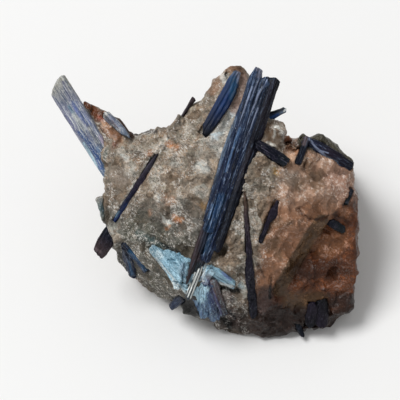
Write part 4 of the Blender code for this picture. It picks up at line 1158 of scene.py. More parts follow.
def rock_additions():
    """Closed shapes for the crusts and for the quartz over the slanting blade."""
    sight = Sight("quartz_matrix")
    additions = [STRANDS["slanting_blade"][0].cover()]
    for centre, halves in EDGE_CRUST:
        additions.append(box(centre, np.eye(3), np.array(halves)))
    for x, y, half in RUST_LOBE + BLACK_FRINGE:
        depth = sight.meets(x, y - LUMP_FOOT)[2]
        nearer = 1.0 - depth / VIEW_DISTANCE
        centre = (x * nearer, y * nearer, depth - LUMP_SINK)
        additions.append(box(centre, np.eye(3), np.array([half, half, LUMP_HALF_DEPTH])))
    return additions


class KYANITE_OT_rock(bpy.types.Operator):
    """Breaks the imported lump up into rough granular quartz"""

    bl_idname = "kyanite.rock"
    bl_label = "Quartz lump"

    def execute(self, context):
        settings = context.scene.kyanite_rock
        grain = settings.grain / MM
        rock = even_copy("quartz_matrix", "quartz_rock", settings.voxel, rock_additions())
        points, normals = points_and_normals(rock.data)
        blades = Sight(*(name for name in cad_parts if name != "quartz_matrix"))
        clear = ease(blades.distances(rock.data), 0.6, 2.4)
        shift = rock_shift(points, normals, clear, grain)
        write_points(rock.data, to_room(points + normals * shift[:, None]))
        thin_out(rock, settings.triangles)
        points, normals = points_and_normals(rock.data)
        colours, grit, slick = rock_colours(points, normals, grain)
        give(rock.data, "tint", "FLOAT_COLOR", colours)
        give(rock.data, "grit", "FLOAT", grit)
        give(rock.data, "slick", "FLOAT", slick)
        give(rock.data, "scratch_place", "FLOAT_VECTOR", points @ np.array(SCRATCH_TURN))
        seat_piece(rock, ["quartz_matrix"], QuartzFinish(settings).finished())
        return {"FINISHED"}


class Strand:
    """One lamella of a blade, from foot to tip.

    tints are stops along it, from 0 to 1, and their colours. edges are stops and how wide its
    low and high sides are there. front is where its broad side faces. hidden is the stretch that
    quartz has grown over, and trim says where its ends are moved to. rounding, ragged and
    splinter say how round its ends are, how nicked its sides are and how broken its ends are.
    """

    def __init__(self, foot, tip, width, thick, tints, front=(0.0, 0.0, 1.0), streak=0.6,
                 hidden=None, edges=((0.0, 1.0, 1.0), (1.0, 1.0, 1.0)), rounding=0.35,
                 ragged=0.3, splinter=0.7, trim=(0.0, 1.0)):
        self.foot = np.array(foot)
        run = np.array(tip) - self.foot
        self.length = np.linalg.norm(run)
        along = run / self.length
        facing = np.array(front) - along * np.dot(front, along)
        facing = facing / np.linalg.norm(facing)
        self.axes = np.stack([np.cross(along, facing), facing, along], axis=1)
        self.size = np.array([width, thick])
        self.tints = tints
        self.streak = streak
        self.hidden = hidden
        self.edges = edges
        self.rounding = rounding
        self.ragged = ragged
        self.splinter = splinter
        self.trim = trim

    def own(self, points):
        """Across, out of the front and along the lamella, in millimetres."""
        return (points - self.foot) @ self.axes

    def distance(self, points):
        """How far outside the lamella's box a point lies, as a share of its section."""
        place = self.own(points)
        across = np.abs(place[:, :2]) / (0.5 * self.size)
        beyond = np.maximum(-place[:, 2], place[:, 2] - self.length) / self.size[1]
        return np.maximum(across.max(axis=1), 1.0 + beyond)

    def colours(self, place):
        """The tint at each place, read along the lamella."""
        part = np.clip(place[:, 2] / self.length, 0.0, 1.0)
        stops, colours = zip(*self.tints)
        return np.stack([np.interp(part, stops, channel) for channel in zip(*colours)], axis=1)

    def shaped(self, place):
        """The places drawn in by the lamella's width along its run and its rounded ends."""
        shaped = place.copy()
        part = place[:, 2] / self.length
        stops, low_side, high_side = zip(*self.edges)
        shaped[:, 0] *= np.where(
            place[:, 0] < 0.0, np.interp(part, stops, low_side), np.interp(part, stops, high_side)
        )
        start, end = self.trim
        shaped[:, 2] += (start + part * (end - start - 1.0)) * self.length
        radius = self.rounding * self.size[0]
        across = np.clip(np.abs(place[:, 0]) / (0.5 * self.size[0]), 0.0, 1.0)
        cut = radius * (1.0 - np.sqrt(1.0 - 0.95 * across ** 2))
        shaped[:, 2] -= cut * ease(place[:, 2], self.length - 3.0 * radius, self.length)
        shaped[:, 2] += cut * ease(place[:, 2], 3.0 * radius, 0.0)
        return shaped

    def sunk(self, place):
        """1 on the stretch that quartz has grown over, 0 elsewhere."""
        if self.hidden is None:
            return np.zeros(len(place))
        part = place[:, 2] / self.length
        low, high = self.hidden
        return ease(part, low, low + 0.03) * ease(part, high, high - 0.03)

    def cover(self):
        """A box of quartz around the hidden stretch."""
        low, high = self.hidden
        middle = self.foot + self.axes[:, 2] * self.length * 0.5 * (low + high)
        width, thick = 0.5 * self.size + (COVER_SIDE, COVER_FRONT)
        return box(middle, self.axes, np.array([width, thick, 0.5 * self.length * (high - low)]))


DARK_BLUE = ((0.0, NAVY), (0.5, INK), (1.0, NAVY))
SEA_BLUE = ((0.0, INK), (0.5, NAVY), (1.0, NAVY))
BLACKISH = ((0.0, GREEN_BLACK), (1.0, INK))
PURPLE = ((0.0, INK), (0.5, PLUM), (1.0, PLUM))

STRANDS = {
    "main_bundle": (
        Strand(
            (3.5, -12.6, 22.0), (22.6, 51.1, 19.2), width=5.0, thick=5.6,
            tints=((0.0, NAVY), (0.5, NAVY), (0.85, STEEL), (1.0, STEEL)), front=(-0.22, 0.11, 0.97),
            streak=0.8, edges=((0.0, 1.0, 1.0), (0.9, 1.0, 1.0), (0.96, 0.85, 1.0), (1.0, 0.4, 0.75)),
            ragged=0.12, splinter=0.3,
        ),
        Strand(
            (2.3, -8.8, 21.6), (17.2, 37.1, 18.8), width=4.0, thick=3.6,
            tints=((0.0, NAVY), (0.5, STEEL), (1.0, STEEL)), front=(-0.43, 0.19, 0.88), streak=0.8,
            ragged=0.12,
        ),
        Strand(
            (1.9, -23.9, 21.4), (26.0, 47.3, 19.0), width=5.2, thick=5.0,
            tints=((0.0, NAVY), (0.5, NAVY), (1.0, STEEL)), front=(0.11, 0.0, 0.99),
            streak=0.8, ragged=0.12,
        ),
        Strand(
            (5.8, -19.5, 20.6), (28.6, 47.3, 17.6), width=6.0, thick=6.4,
            tints=((0.0, INK), (0.3, INK), (0.6, PLUM), (1.0, INK)), front=(0.54, -0.15, 0.83),
            streak=0.25, ragged=0.12,
        ),
        Strand(
            (-4.9, -32.7, 17.2), (4.5, -4.9, 21.8), width=3.2, thick=3.6,
            tints=((0.0, UMBER), (1.0, UMBER)), front=(-0.25, -0.08, 0.97), streak=0.25,
            edges=((0.0, 0.4, 0.4), (0.3, 1.1, 1.1), (0.8, 1.1, 1.1), (1.0, 0.6, 0.6)), ragged=0.15,
        ),
        Strand(
            (-4.7, -38.5, 14.0), (1.4, -21.4, 20.2), width=2.8, thick=3.2,
            tints=((0.0, SLATE), (1.0, UMBER)), front=(-0.11, -0.3, 0.95), streak=0.3,
            edges=((0.0, 0.7, 0.7), (1.0, 1.1, 1.1)),
        ),
    ),
    "left_pale_blade": (
        Strand(
            (-31.9, 6.4, 3.5), (-56.2, 45.6, 11.0), width=8.9, thick=3.2,
            tints=((0.0, STEEL_BLUE), (0.3, SLATE), (0.5, LAVENDER), (0.8, LAVENDER), (1.0, CREAM)),
            front=(-0.06, -0.23, 0.97), streak=1.0, rounding=0.3, ragged=0.15, splinter=0.3,
            trim=(0.0, 1.02),
        ),
    ),
    "spur_blade": (
        Strand(
            (-26.2, 23.3, 9.0), (-37.2, 33.8, 8.6), width=3.4, thick=2.4,
            tints=((0.0, ASH_GREY), (0.8, LAVENDER), (1.0, CREAM)), streak=0.7,
            edges=((0.0, 0.3, 0.5), (0.3, 0.9, 0.9), (1.0, 1.0, 1.0)), trim=(0.16, 1.04),
        ),
    ),
    "slanting_blade": (
        Strand(
            (-33.9, -8.7, 11.4), (-2.4, 40.0, 12.2), width=2.4, thick=3.2,
            tints=((0.0, COBALT), (0.1, NAVY), (0.3, PLUM), (0.5, ASH_BLACK), (1.0, UMBER)), streak=0.3,
            hidden=(0.55, 0.85),
            edges=(
                (0.0, 0.3, 0.3), (0.06, 0.9, 0.9), (0.14, 1.1, 1.1), (0.22, 0.8, 0.8), (0.3, 0.9, 1.3),
                (0.33, 1.0, 1.9), (0.38, 0.8, 0.9), (0.44, 0.7, 0.8), (0.5, 0.5, 0.6),
                (0.555, 0.1, 0.1), (0.84, 0.3, 0.3), (1.0, 0.9, 0.9),
            ),
            ragged=0.1,
        ),
        Strand(
            (-33.2, -7.5, 9.0), (-40.6, -21.9, 3.6), width=5.6, thick=3.4,
            tints=((0.0, GREEN_BLACK), (0.5, INK), (0.8, UMBER), (1.0, UMBER)),
            front=(-0.37, -0.15, 0.92), streak=0.1,
            edges=((0.0, 0.5, 0.5), (0.3, 0.9, 0.8), (0.7, 1.3, 1.15), (1.0, 1.2, 1.1)), rounding=0.5,
            ragged=0.15, splinter=0.25, trim=(0.0, 0.97),
        ),
    ),
    "upper_blade": (
        Strand(
            (1.8, 25.0, 18.1), (15.7, 49.7, 14.4), width=6.0, thick=3.2,
            tints=((0.0, INK), (0.25, NAVY), (0.5, ROYAL), (0.85, ROYAL), (1.0, SLATE)),
            front=(-0.06, 0.18, 0.98), streak=0.1,
            edges=((0.0, 0.5, 0.5), (0.1, 0.9, 0.85), (0.9, 1.0, 1.0), (1.0, 0.8, 0.8)), ragged=0.15,
        ),
    ),
    "small_tip_blade": (
        Strand(
            (22.1, 30.2, 10.6), (33.6, 35.6, 14.0), width=3.0, thick=2.4,
            tints=((0.0, STEEL_BLUE), (0.6, NAVY), (1.0, ASH_GREY)), front=(-0.08, -0.41, 0.91),
            streak=0.3,
        ),
    ),
    "cross_blade": (
        Strand(
            (24.0, 20.6, 20.9), (33.6, 14.2, 19.4), width=4.6, thick=3.4,
            tints=((0.0, INK), (0.6, INK), (1.0, GREEN_BLACK)), front=(0.23, 0.13, 0.96), streak=0.9,
            edges=((0.0, 1.0, 0.9), (0.6, 1.15, 1.0), (1.0, 1.1, 0.8)), trim=(-0.22, 1.05),
        ),
    ),
    "right_top_blades": (
        Strand(
            (60.1, 12.9, 7.1), (40.8, 24.0, 11.6), width=5.4, thick=3.0,
            tints=((0.0, INK), (0.5, PLUM), (1.0, NAVY)), front=(0.26, 0.05, 0.96), streak=0.4,
        ),
        Strand(
            (38.2, 13.9, 17.2), (42.3, 24.6, 12.6), width=2.4, thick=2.2,
            tints=((0.0, INK), (0.6, INK), (1.0, PLUM)), front=(0.14, 0.35, 0.93), streak=0.2,
        ),
    ),
    "right_middle_blade": (
        Strand(
            (23.4, -16.6, 20.9), (30.0, -0.6, 21.8), width=3.0, thick=2.2,
            tints=PURPLE, streak=0.1,
            edges=(
                (0.0, 0.7, 0.9), (0.15, 0.7, 0.8), (0.3, 0.45, 0.5), (0.5, 0.6, 0.5), (0.65, 0.9, 1.5),
                (0.8, 0.9, 1.8), (0.9, 0.6, 1.6), (1.0, 0.3, 1.0),
            ),
            ragged=0.5,
        ),
    ),
    "long_narrow_blade": (
        Strand(
            (21.5, -46.4, 3.2), (17.4, 2.5, 21.9), width=3.2, thick=2.8,
            tints=((0.0, INK), (0.3, INK), (0.6, PLUM), (0.85, UMBER), (1.0, DUST_BROWN)),
            front=(0.03, -0.35, 0.93), streak=0.5,
            edges=((0.0, 1.1, 1.1), (0.4, 1.1, 1.0), (0.7, 0.8, 0.8), (0.9, 0.7, 0.6), (1.0, 0.3, 0.3)),
            ragged=0.5,
        ),
    ),
    "right_black_blade": (
        Strand(
            (57.1, -11.9, 6.4), (51.0, -8.5, 10.0), width=3.4, thick=2.2,
            tints=BLACKISH, front=(0.34, -0.33, 0.88), streak=0.1,
        ),
    ),
    "right_edge_blade": (
        Strand(
            (57.6, -1.8, 8.7), (59.8, 4.2, 7.6), width=1.8, thick=2.0,
            tints=BLACKISH, streak=0.1,
        ),
    ),
    "lower_left_blades": (
        Strand(
            (-30.2, -16.8, 11.3), (-21.3, -28.0, 4.9), width=3.2, thick=2.4,
            tints=SEA_BLUE, front=(-0.62, -0.7, 0.36), streak=0.6,
            edges=((0.0, 0.9, 1.1), (0.3, 1.5, 1.4), (0.6, 1.4, 1.5), (1.0, 1.6, 1.5)), ragged=0.8,
        ),
        Strand(
            (-29.7, -18.2, 9.2), (-27.0, -30.4, -5.0), width=3.4, thick=2.6,
            tints=SEA_BLUE, front=(-0.6, -0.66, 0.45), streak=0.6,
            edges=((0.0, 1.0, 1.0), (0.3, 1.6, 1.5), (0.7, 1.3, 1.4), (1.0, 1.2, 1.2)), ragged=0.8,
        ),
    ),
    "pale_plate": (
        Strand(
            (-17.0, -16.4, 17.6), (-5.1, -34.3, 16.1), width=9.0, thick=2.2,
            tints=((0.0, ICE), (0.4, SKY), (1.0, ICE)), front=(-0.23, -0.23, 0.95), streak=0.4,
        ),
    ),
    "foot_fan": (
        Strand(
            (1.5, -46.2, 0.8), (1.9, -32.9, 16.3), width=3.7, thick=2.8,
            tints=((0.0, STEEL_BLUE), (0.5, SKY_DEEP), (1.0, ICE)), front=(0.01, -0.76, 0.65),
            streak=0.9,
        ),
        Strand(
            (5.8, -47.8, -0.4), (3.3, -32.1, 17.0), width=3.7, thick=2.8,
            tints=((0.0, COBALT), (0.5, STEEL_BLUE), (1.0, STEEL_BLUE)), front=(-0.02, -0.74, 0.67),
            streak=0.9,
        ),
        Strand(
            (9.5, -45.5, 5.0), (4.9, -30.7, 18.1), width=3.3, thick=2.8,
            tints=((0.0, PLUM), (0.5, PURPLE_BROWN), (1.0, LAVENDER_BROWN)), front=(-0.04, -0.67, 0.74),
            streak=0.3,
        ),
        Strand(
            (1.9, -32.3, 17.0), (4.5, -27.3, 19.6), width=2.6, thick=2.4,
            tints=((0.0, LAVENDER), (1.0, ICE)), front=(-0.19, -0.36, 0.91), streak=0.6,
        ),
        Strand(
            (4.9, -27.7, 19.3), (13.2, -33.2, 14.5), width=4.6, thick=2.4,
            tints=((0.0, SKY), (1.0, SKY)), front=(0.26, -0.39, 0.88), streak=0.6,
        ),
    ),
    "bottom_stub_blade": (
        Strand(
            (-6.3, -38.0, 7.3), (-11.5, -43.0, -4.0), width=3.4, thick=2.8,
            tints=SEA_BLUE, front=(-0.61, -0.59, 0.53), streak=0.4, rounding=0.5, ragged=0.15,
            splinter=0.2, trim=(0.0, 0.93),
        ),
    ),
    "bottom_tip_blade": (
        Strand(
            (37.8, -46.2, -3.4), (41.1, -54.6, -5.6), width=4.0, thick=2.6,
            tints=BLACKISH, streak=0.05,
        ),
    ),
    "bottom_right_bundle": (
        Strand(
            (45.1, -40.7, 2.0), (44.0, -50.8, -3.4), width=4.6, thick=3.4,
            tints=((0.0, PLUM), (1.0, PITCH)), front=(-0.05, -0.47, 0.88), streak=0.1, rounding=0.6,
            splinter=0.25, trim=(0.0, 0.95),
        ),
        Strand(
            (48.7, -39.5, 2.1), (48.6, -51.2, -3.4), width=5.2, thick=3.8,
            tints=((0.0, PITCH), (1.0, PLUM)), front=(0.0, -0.42, 0.91), streak=0.1, rounding=0.6,
            splinter=0.25, trim=(0.0, 0.93),
        ),
    ),
    "left_edge_blade": (
        Strand(
            (-38.0, -7.9, 7.6), (-39.4, 1.4, 7.6), width=2.4, thick=3.4,
            tints=((0.0, SHADE_GREEN), (0.5, TEAL_GREY), (1.0, STONE_GREY)), streak=0.3, ragged=1.0,
        ),
    ),
    "back_left_blade": (
        Strand(
            (-15.0, 18.6, -40.8), (2.0, 35.6, -26.3), width=4.6, thick=3.4,
            tints=DARK_BLUE, front=(-0.17, 0.73, -0.66),
        ),
    ),
    "back_middle_blade": (
        Strand(
            (18.0, 20.9, -46.7), (13.0, 40.4, -13.0), width=5.4, thick=4.0,
            tints=DARK_BLUE, front=(0.0, 0.87, -0.5),
        ),
    ),
    "back_right_blade": (
        Strand(
            (53.0, 14.8, -43.2), (42.0, 22.6, -42.5), width=3.8, thick=3.0,
            tints=PURPLE, front=(0.44, 0.67, -0.6),
        ),
    ),
}
STROKES = {
    "left_pale_blade": {
        "cream shoulder": Mark(((-59.2, 43.2), (-57.2, 48.0), (-54.8, 49.2)), 1.3, CREAM, 0.75),
        "left shade": Mark(((-59.2, 41.2), (-55.2, 35.2), (-46.8, 25.2)), 0.8, INDIGO, 0.6),
        "upper shade": Mark(((-54.8, 47.2), (-53.2, 43.2), (-51.2, 40.0)), 0.6, INDIGO, 0.7),
        "blue pool": Mark(((-50.4, 38.8), (-48.4, 35.2), (-44.8, 30.8)), 1.0, CORN_BLUE, 0.9),
        "sky flank of the pool": Mark(((-52.4, 37.6), (-50.4, 34.4)), 0.6, SKY, 0.8),
        "cream pool": Mark(((-50.4, 34.0), (-48.4, 31.2), (-46.4, 28.4)), 0.9, BONE, 0.7),
        "deep blue run": Mark(
            ((-48.0, 27.2), (-45.2, 24.0), (-41.2, 17.6), (-39.6, 12.8)), 0.8, DEEP_BLUE, 0.95,
        ),
        "ice edge": Mark(((-46.4, 22.8), (-42.8, 16.8), (-40.4, 11.2)), 0.5, ICE, 0.8),
        "steel foot": Mark(((-40.8, 20.8), (-38.4, 16.8)), 0.8, STEEL_BLUE, 0.7),
        "cream right edge": Mark(((-46.4, 37.6), (-42.8, 32.8), (-38.8, 26.4)), 0.6, CREAM, 0.7),
        "rust line": Mark(((-40.8, 32.0), (-38.4, 27.6), (-35.6, 24.0)), 0.4, DARK_RUST, 0.8),
        "cream streak": Mark(((-44.8, 28.8), (-41.2, 22.8)), 0.4, CREAM, 0.6),
        "rose foot": Mark(((-40.0, 25.6), (-38.0, 21.6)), 0.7, ROSE_GREY, 0.7),
    },
    "spur_blade": {
        "rust edge": Mark(((-34.0, 33.6), (-30.4, 31.2), (-27.2, 25.2)), 0.9, DARK_RUST, 0.95),
        "black edge": Mark(((-38.0, 34.0), (-34.8, 30.0), (-32.4, 25.6)), 0.5, DARK_CRUST_AND_SHADE, 0.85),
        "white crust": Mark(((-38.8, 34.8), (-36.4, 35.2)), 0.8, SUGAR_WHITE, 0.7),
        "blue foot": Mark(((-30.4, 25.6), (-28.0, 24.4)), 0.6, STEEL_BLUE, 0.5),
        "brown middle": Mark(((-35.2, 31.6), (-32.0, 27.6)), 0.4, LAVENDER_BROWN, 0.8),
    },
    "upper_blade": {
        "lavender tip": Mark(((15.6, 52.0), (15.2, 47.2)), 0.8, LAVENDER, 0.8),
        "teal edge": Mark(((13.6, 48.0), (13.2, 40.8)), 1.5, TEAL, 0.6),
        "blue glint": Mark(((8.8, 41.2), (9.2, 37.6)), 0.5, ROYAL, 0.5),
        "black foot": Mark(((0.8, 27.2), (2.0, 25.6)), 1.1, INK, 0.8),
    },
    "main_bundle": {
        "lavender tip": Mark(((22.8, 52.4), (24.4, 51.6), (23.2, 49.6)), 0.8, LAVENDER, 0.8),
        "ash line 1": Mark(
            ((26.8, 48.0), (24.8, 44.8), (23.2, 42.0), (22.4, 39.6)), 0.26, ASH_BLUE, 0.9,
        ),
        "ash line 2": Mark(
            ((20.8, 45.2), (18.8, 39.6), (17.2, 34.8), (16.0, 31.6)), 0.26, ASH_BLUE, 0.9,
        ),
        "ash line 3": Mark(((22.4, 39.2), (20.0, 34.0), (18.8, 30.4)), 0.26, ASH_BLUE, 0.8),
        "ash line 4": Mark(
            ((23.2, 36.8), (21.2, 31.6), (18.8, 25.6), (17.2, 21.2)), 0.26, ASH_BLUE, 0.8,
        ),
        "ash line 5": Mark(((24.4, 50.0), (21.6, 44.0), (20.0, 40.0)), 0.22, ASH_BLUE, 0.7),
        "ash line 6": Mark(((19.6, 41.6), (16.8, 33.6), (14.4, 27.2)), 0.22, ASH_BLUE, 0.6),
        "steel line": Mark(((16.0, 28.8), (14.0, 22.4), (12.0, 16.8), (10.0, 11.2)), 0.3, STEEL_BLUE),
        # Painted highlight along the bundle's left edge.
        "grey left edge": Mark(
            ((14.4, 32.4), (12.0, 26.0), (8.8, 17.2), (5.6, 7.6)), 0.5, ASH_GREY, 0.7,
        ),
        # Painted shade on the bundle's right side.
        "black right side": Mark(((27.2, 44.0), (24.0, 32.0), (20.8, 21.6)), 1.7, INK, 0.8),
        "plum right edge": Mark(((29.2, 46.4), (27.2, 38.4), (24.8, 30.4)), 1.2, PLUM, 0.45),
        "cobalt middle": Mark(((8.4, 1.6), (6.0, -5.6), (4.4, -12.8)), 1.0, COBALT, 0.3),
        "steel middle": Mark(((4.8, -2.0), (3.6, -7.2)), 0.5, STEEL_BLUE, 0.6),
        "teal of the lower bundle": Mark(((8.4, 0.8), (4.0, -10.4), (1.6, -20.0)), 1.9, TEAL, 0.28),
        "dark ground of the foot": Mark(((-0.4, -26.4), (-4.4, -38.0)), 1.9, GREEN_BLACK, 0.9),
        "bone line 1": Mark(((-2.0, -29.2), (-5.8, -38.4)), 0.26, BONE, 1.0),
        "bone line 2": Mark(((-0.4, -27.6), (-4.9, -38.8)), 0.26, BONE, 1.0),
        "bone line 3": Mark(((0.8, -26.8), (-3.8, -39.2)), 0.26, BONE, 1.0),
        "sky line": Mark(((-3.0, -29.8), (-6.6, -38.0)), 0.22, SKY, 0.9),
    },
    "slanting_blade": {
        "sky edge of the foot": Mark(((-33.6, -6.8), (-32.4, -4.8)), 0.4, SKY, 0.4),
        "cobalt run": Mark(((-34.8, -9.6), (-29.6, -1.6)), 0.5, COBALT, 0.4),
        "plum middle": Mark(((-21.6, 9.6), (-23.2, 6.4)), 1.2, PLUM, 0.8),
        "brown end of the stub": Mark(
            ((-42.4, -18.4), (-41.2, -20.0), (-39.6, -20.8)), 0.6, LAVENDER_BROWN, 0.8,
        ),
    },
    "lower_left_blades": {
        "teal of the inner blade": Mark(((-28.0, -20.4), (-21.6, -27.6)), 0.8, TEAL, 0.6),
        "teal of the outer blade": Mark(((-28.4, -24.4), (-27.2, -29.6)), 0.6, TEAL, 0.5),
    },
    "pale_plate": {
        "white corner": Mark(((-20.0, -18.8), (-16.0, -22.4)), 1.4, BONE, 0.5),
        "bluish side": Mark(((-6.8, -26.0), (-6.8, -30.8)), 1.2, ASH_BLUE, 0.4),
        "white sliver": Mark(((-10.4, -33.2), (-7.6, -36.4), (-6.4, -38.0)), 1.3, BONE, 0.9),
        "white edge": Mark(((-17.6, -23.2), (-10.4, -31.6)), 0.4, BONE, 0.8),
        "pit, upper": Mark(((-12.8, -24.0), (-10.0, -24.0)), 0.36, SHADOW_BLUE, 0.9, depth=0.3),
        "pit, lower": Mark(((-10.0, -25.2), (-8.4, -26.4)), 0.3, SHADOW_BLUE, 0.9, depth=0.3),
        "seam over the sliver": Mark(
            ((-10.8, -32.6), (-6.0, -33.4)), 0.25, SHADOW_BLUE, 0.8, depth=0.4,
        ),
    },
    "foot_fan": {
        "blue of the wing": Mark(((9.2, -29.2), (12.0, -31.6)), 0.7, CORN_BLUE, 0.8),
        "sky of the wing": Mark(((5.6, -27.2), (8.8, -30.4)), 0.6, SKY, 0.6),
        "white edge of the wing": Mark(((8.0, -33.2), (12.8, -34.4)), 0.6, BONE, 0.9),
        "sky top of the prism": Mark(((1.6, -24.4), (4.0, -26.4)), 0.6, SKY, 0.9),
        "white edge of the prism": Mark(((2.4, -25.6), (1.2, -31.2)), 0.4, BONE, 0.7),
        "white foot of the prism": Mark(((-0.4, -31.6), (1.6, -32.4)), 0.3, BONE, 0.8),
        "white of the fan": Mark(((-0.8, -33.6), (-1.6, -39.6)), 1.4, ICE, 0.9),
        "ice of the fan": Mark(((0.4, -39.2), (2.4, -42.8)), 0.5, ICE, 0.8),
        "left of the fan": Mark(((-2.4, -40.0), (0.8, -45.6)), 0.9, STEEL_BLUE, 0.9),
        "steel of the fan": Mark(((2.8, -41.6), (5.6, -47.2)), 1.4, STEEL_BLUE, 0.9),
        "cobalt of the fan": Mark(((3.6, -37.6), (7.2, -47.2)), 1.2, COBALT, 0.8),
        "plum of the fan": Mark(
            ((3.2, -31.6), (4.6, -35.6), (7.6, -42.4), (8.4, -45.6)), 0.5, PLUM_BLUE, 0.8,
        ),
        "shade by the prism": Mark(((3.2, -30.4), (6.0, -32.4)), 1.0, LAVENDER_BROWN, 0.7),
    },
    "right_top_blades": {
        "ash left edge": Mark(((43.6, 24.4), (46.4, 20.8), (50.0, 17.6)), 0.4, ASH_BLUE, 0.6),
        "ash glint": Mark(((48.0, 19.6), (51.2, 18.8)), 0.3, ASH_BLUE, 0.6),
        "grey lower side": Mark(((50.4, 16.8), (54.4, 14.8)), 0.8, ASH_GREY, 0.6),
        "rose top of the short blade": Mark(((42.4, 24.8), (41.6, 22.4)), 0.8, LAVENDER_BROWN, 0.6),
    },
    "small_tip_blade": {
        "blue face": Mark(((28.0, 32.4), (31.2, 34.0)), 0.7, DEEP_BLUE, 0.9),
        "black split": Mark(((33.2, 36.4), (28.0, 34.8)), 0.6, INK, 0.9),
        "white tip": Mark(((34.4, 36.4), (33.6, 35.6)), 0.3, BONE, 0.8),
    },
}

PLATE_OUTLINE = (
    (-20.8, -19.2), (-20.0, -18.3), (-17.6, -18.4), (-16.0, -19.6), (-15.2, -20.6), (-14.4, -19.7),
    (-12.4, -19.8), (-10.4, -20.8), (-8.0, -21.2), (-6.4, -22.6), (-3.2, -23.8), (-3.2, -27.2),
    (-4.4, -33.2), (-8.8, -33.2), (-10.4, -32.4), (-13.6, -28.6), (-18.0, -23.2),
)
SLIVER_OUTLINE = (
    (-11.0, -32.6), (-8.8, -33.4), (-4.4, -33.4), (-4.8, -37.2), (-6.4, -39.2), (-8.8, -35.8),
)
WING_OUTLINE = (
    (3.8, -25.4), (6.4, -26.6), (9.2, -28.4), (11.6, -30.6), (14.0, -33.6), (13.2, -35.0),
    (8.4, -33.8), (4.8, -30.0),
)
PRISM_OUTLINE = (
    (1.6, -24.0), (4.4, -25.6), (4.0, -27.6), (1.6, -32.8), (-1.0, -31.8), (0.4, -27.2),
)
FAN_OUTLINE = (
    (-0.8, -32.4), (1.6, -32.4), (3.2, -34.4), (5.6, -38.4), (8.0, -42.0), (8.2, -48.8),
    (4.8, -48.0), (0.8, -46.6), (-1.6, -43.2), (-3.4, -39.4), (-2.4, -36.0),
)
DARK_FAN_OUTLINE = (
    (2.4, -28.4), (4.8, -29.6), (7.6, -33.6), (4.4, -34.0), (3.2, -35.2), (1.2, -32.4),
)

BLUE_BLADES = (
    "upper_blade", "small_tip_blade", "right_top_blades", "lower_left_blades", "bottom_stub_blade",
    "back_left_blade", "back_middle_blade",
)
DARK_BLADES = (
    "slanting_blade", "cross_blade", "right_middle_blade", "long_narrow_blade",
    "right_black_blade", "right_edge_blade", "bottom_tip_blade", "bottom_right_bundle",
    "back_right_blade",
)
PALE_BLADES = ("left_pale_blade", "spur_blade", "left_edge_blade")


def dress_blade(settings, node, material, rib, voxel=BLADE_VOXEL, additions=()):
    """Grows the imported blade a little, ribs it along its strands and splinters its ends.

    rib is how deep its ribs are, as a share of the rib depth that the settings give.
    """
    piece = even_copy(node, node + "_crystal", voxel * MM, additions)
    points, normals = points_and_normals(piece.data)
    strands = STRANDS[node]
    nearest = np.argmin([strand.distance(points) for strand in strands], axis=0)
    streak = np.array([strand.streak for strand in strands])[nearest]
    ragged = np.array([strand.ragged for strand in strands])[nearest]
    splinter = np.array([strand.splinter for strand in strands])[nearest]
    place = np.zeros_like(points)
    colours = np.zeros_like(points)
    ends = np.zeros(len(points))
    sunk = np.zeros(len(points))
    for index, strand in enumerate(strands):
        mine = nearest == index
        own = strand.own(points[mine])
        points[mine] += (strand.shaped(own) - own) @ strand.axes.T
        place[mine] = own + STRAND_STEP * index
        colours[mine] = strand.colours(own)
        ends[mine] = np.abs((normals[mine] @ strand.axes)[:, 2])
        sunk[mine] = strand.sunk(own)
    seed = BLADE_SEED + sum(ord(letter) for letter in node)
    slabs = facets(place, SLAB_SIZE, seed + 21, tilt=0.8)
    ribs = facets(place, RIB_SIZE, seed, tilt=0.9)
    hairs = facets(place, HAIR_SIZE, seed + 7, tilt=0.6, step=0.6)
    nicks = fractures(place, NICK_SIZE, seed + 14)
    side = 1.0 - ends
    shift = settings.growth / MM + side * rib * settings.rib / MM * (slabs + 0.7 * ribs + 0.3 * hairs)
    shift += ragged * side * nicks
    shift += ends * splinter * settings.splinter / MM * (0.8 * slabs + ribs + 0.4 * hairs - 0.15)
    spots = sighted(points)
    for mark in STROKES.get(node, {}).values():
        cover = mark.cover(spots)
        colours = blend(colours, mark.colour, cover * mark.strength)
        shift -= mark.depth * cover * ease(normals[:, 2], 0.0, 0.4)
    shift = shift * (1.0 - sunk) - HIDDEN_SINK * sunk
    write_points(piece.data, to_room(points + normals * shift[:, None]))
    give(piece.data, "tint", "FLOAT_COLOR", colours)
    give(piece.data, "streak", "FLOAT", streak)
    give(piece.data, "blade_place", "FLOAT_VECTOR", place)
    seat_piece(piece, [node], material)


class KYANITE_OT_main_bundle(bpy.types.Operator):
    """Ribs the large bundle of blades that crosses the specimen"""

    bl_idname = "kyanite.main_bundle"
    bl_label = "Main bundle"

    def execute(self, context):
        settings = context.scene.kyanite_blades
        streak = tuple(settings.streak)
        finish = kyanite_finish("bundle_kyanite", streak, INK, roughness=0.4, shine=0.2)
        dress_blade(settings, "main_bundle", finish, rib=1.0, voxel=MAIN_VOXEL)
        return {"FINISHED"}


class KYANITE_OT_blue_blades(bpy.types.Operator):
    """Ribs the smaller dark blue blades"""

    bl_idname = "kyanite.blue_blades"
    bl_label = "Blue blades"

    def execute(self, context):
        settings = context.scene.kyanite_blades
        streak = tuple(settings.streak)
        finish = kyanite_finish("blue_kyanite", streak, INK, roughness=0.36, shine=0.2)
        for node in BLUE_BLADES:
            dress_blade(settings, node, finish, rib=0.6)
        return {"FINISHED"}


class KYANITE_OT_dark_blades(bpy.types.Operator):
    """Ribs the purple and black blades"""

    bl_idname = "kyanite.dark_blades"
    bl_label = "Dark blades"

    def execute(self, context):
        settings = context.scene.kyanite_blades
        finish = kyanite_finish("dark_kyanite", ASH_VIOLET, INK, roughness=0.38, shine=0.16,
                                dapple=0.35)
        for node in DARK_BLADES:
            dress_blade(settings, node, finish, rib=0.6)
        return {"FINISHED"}


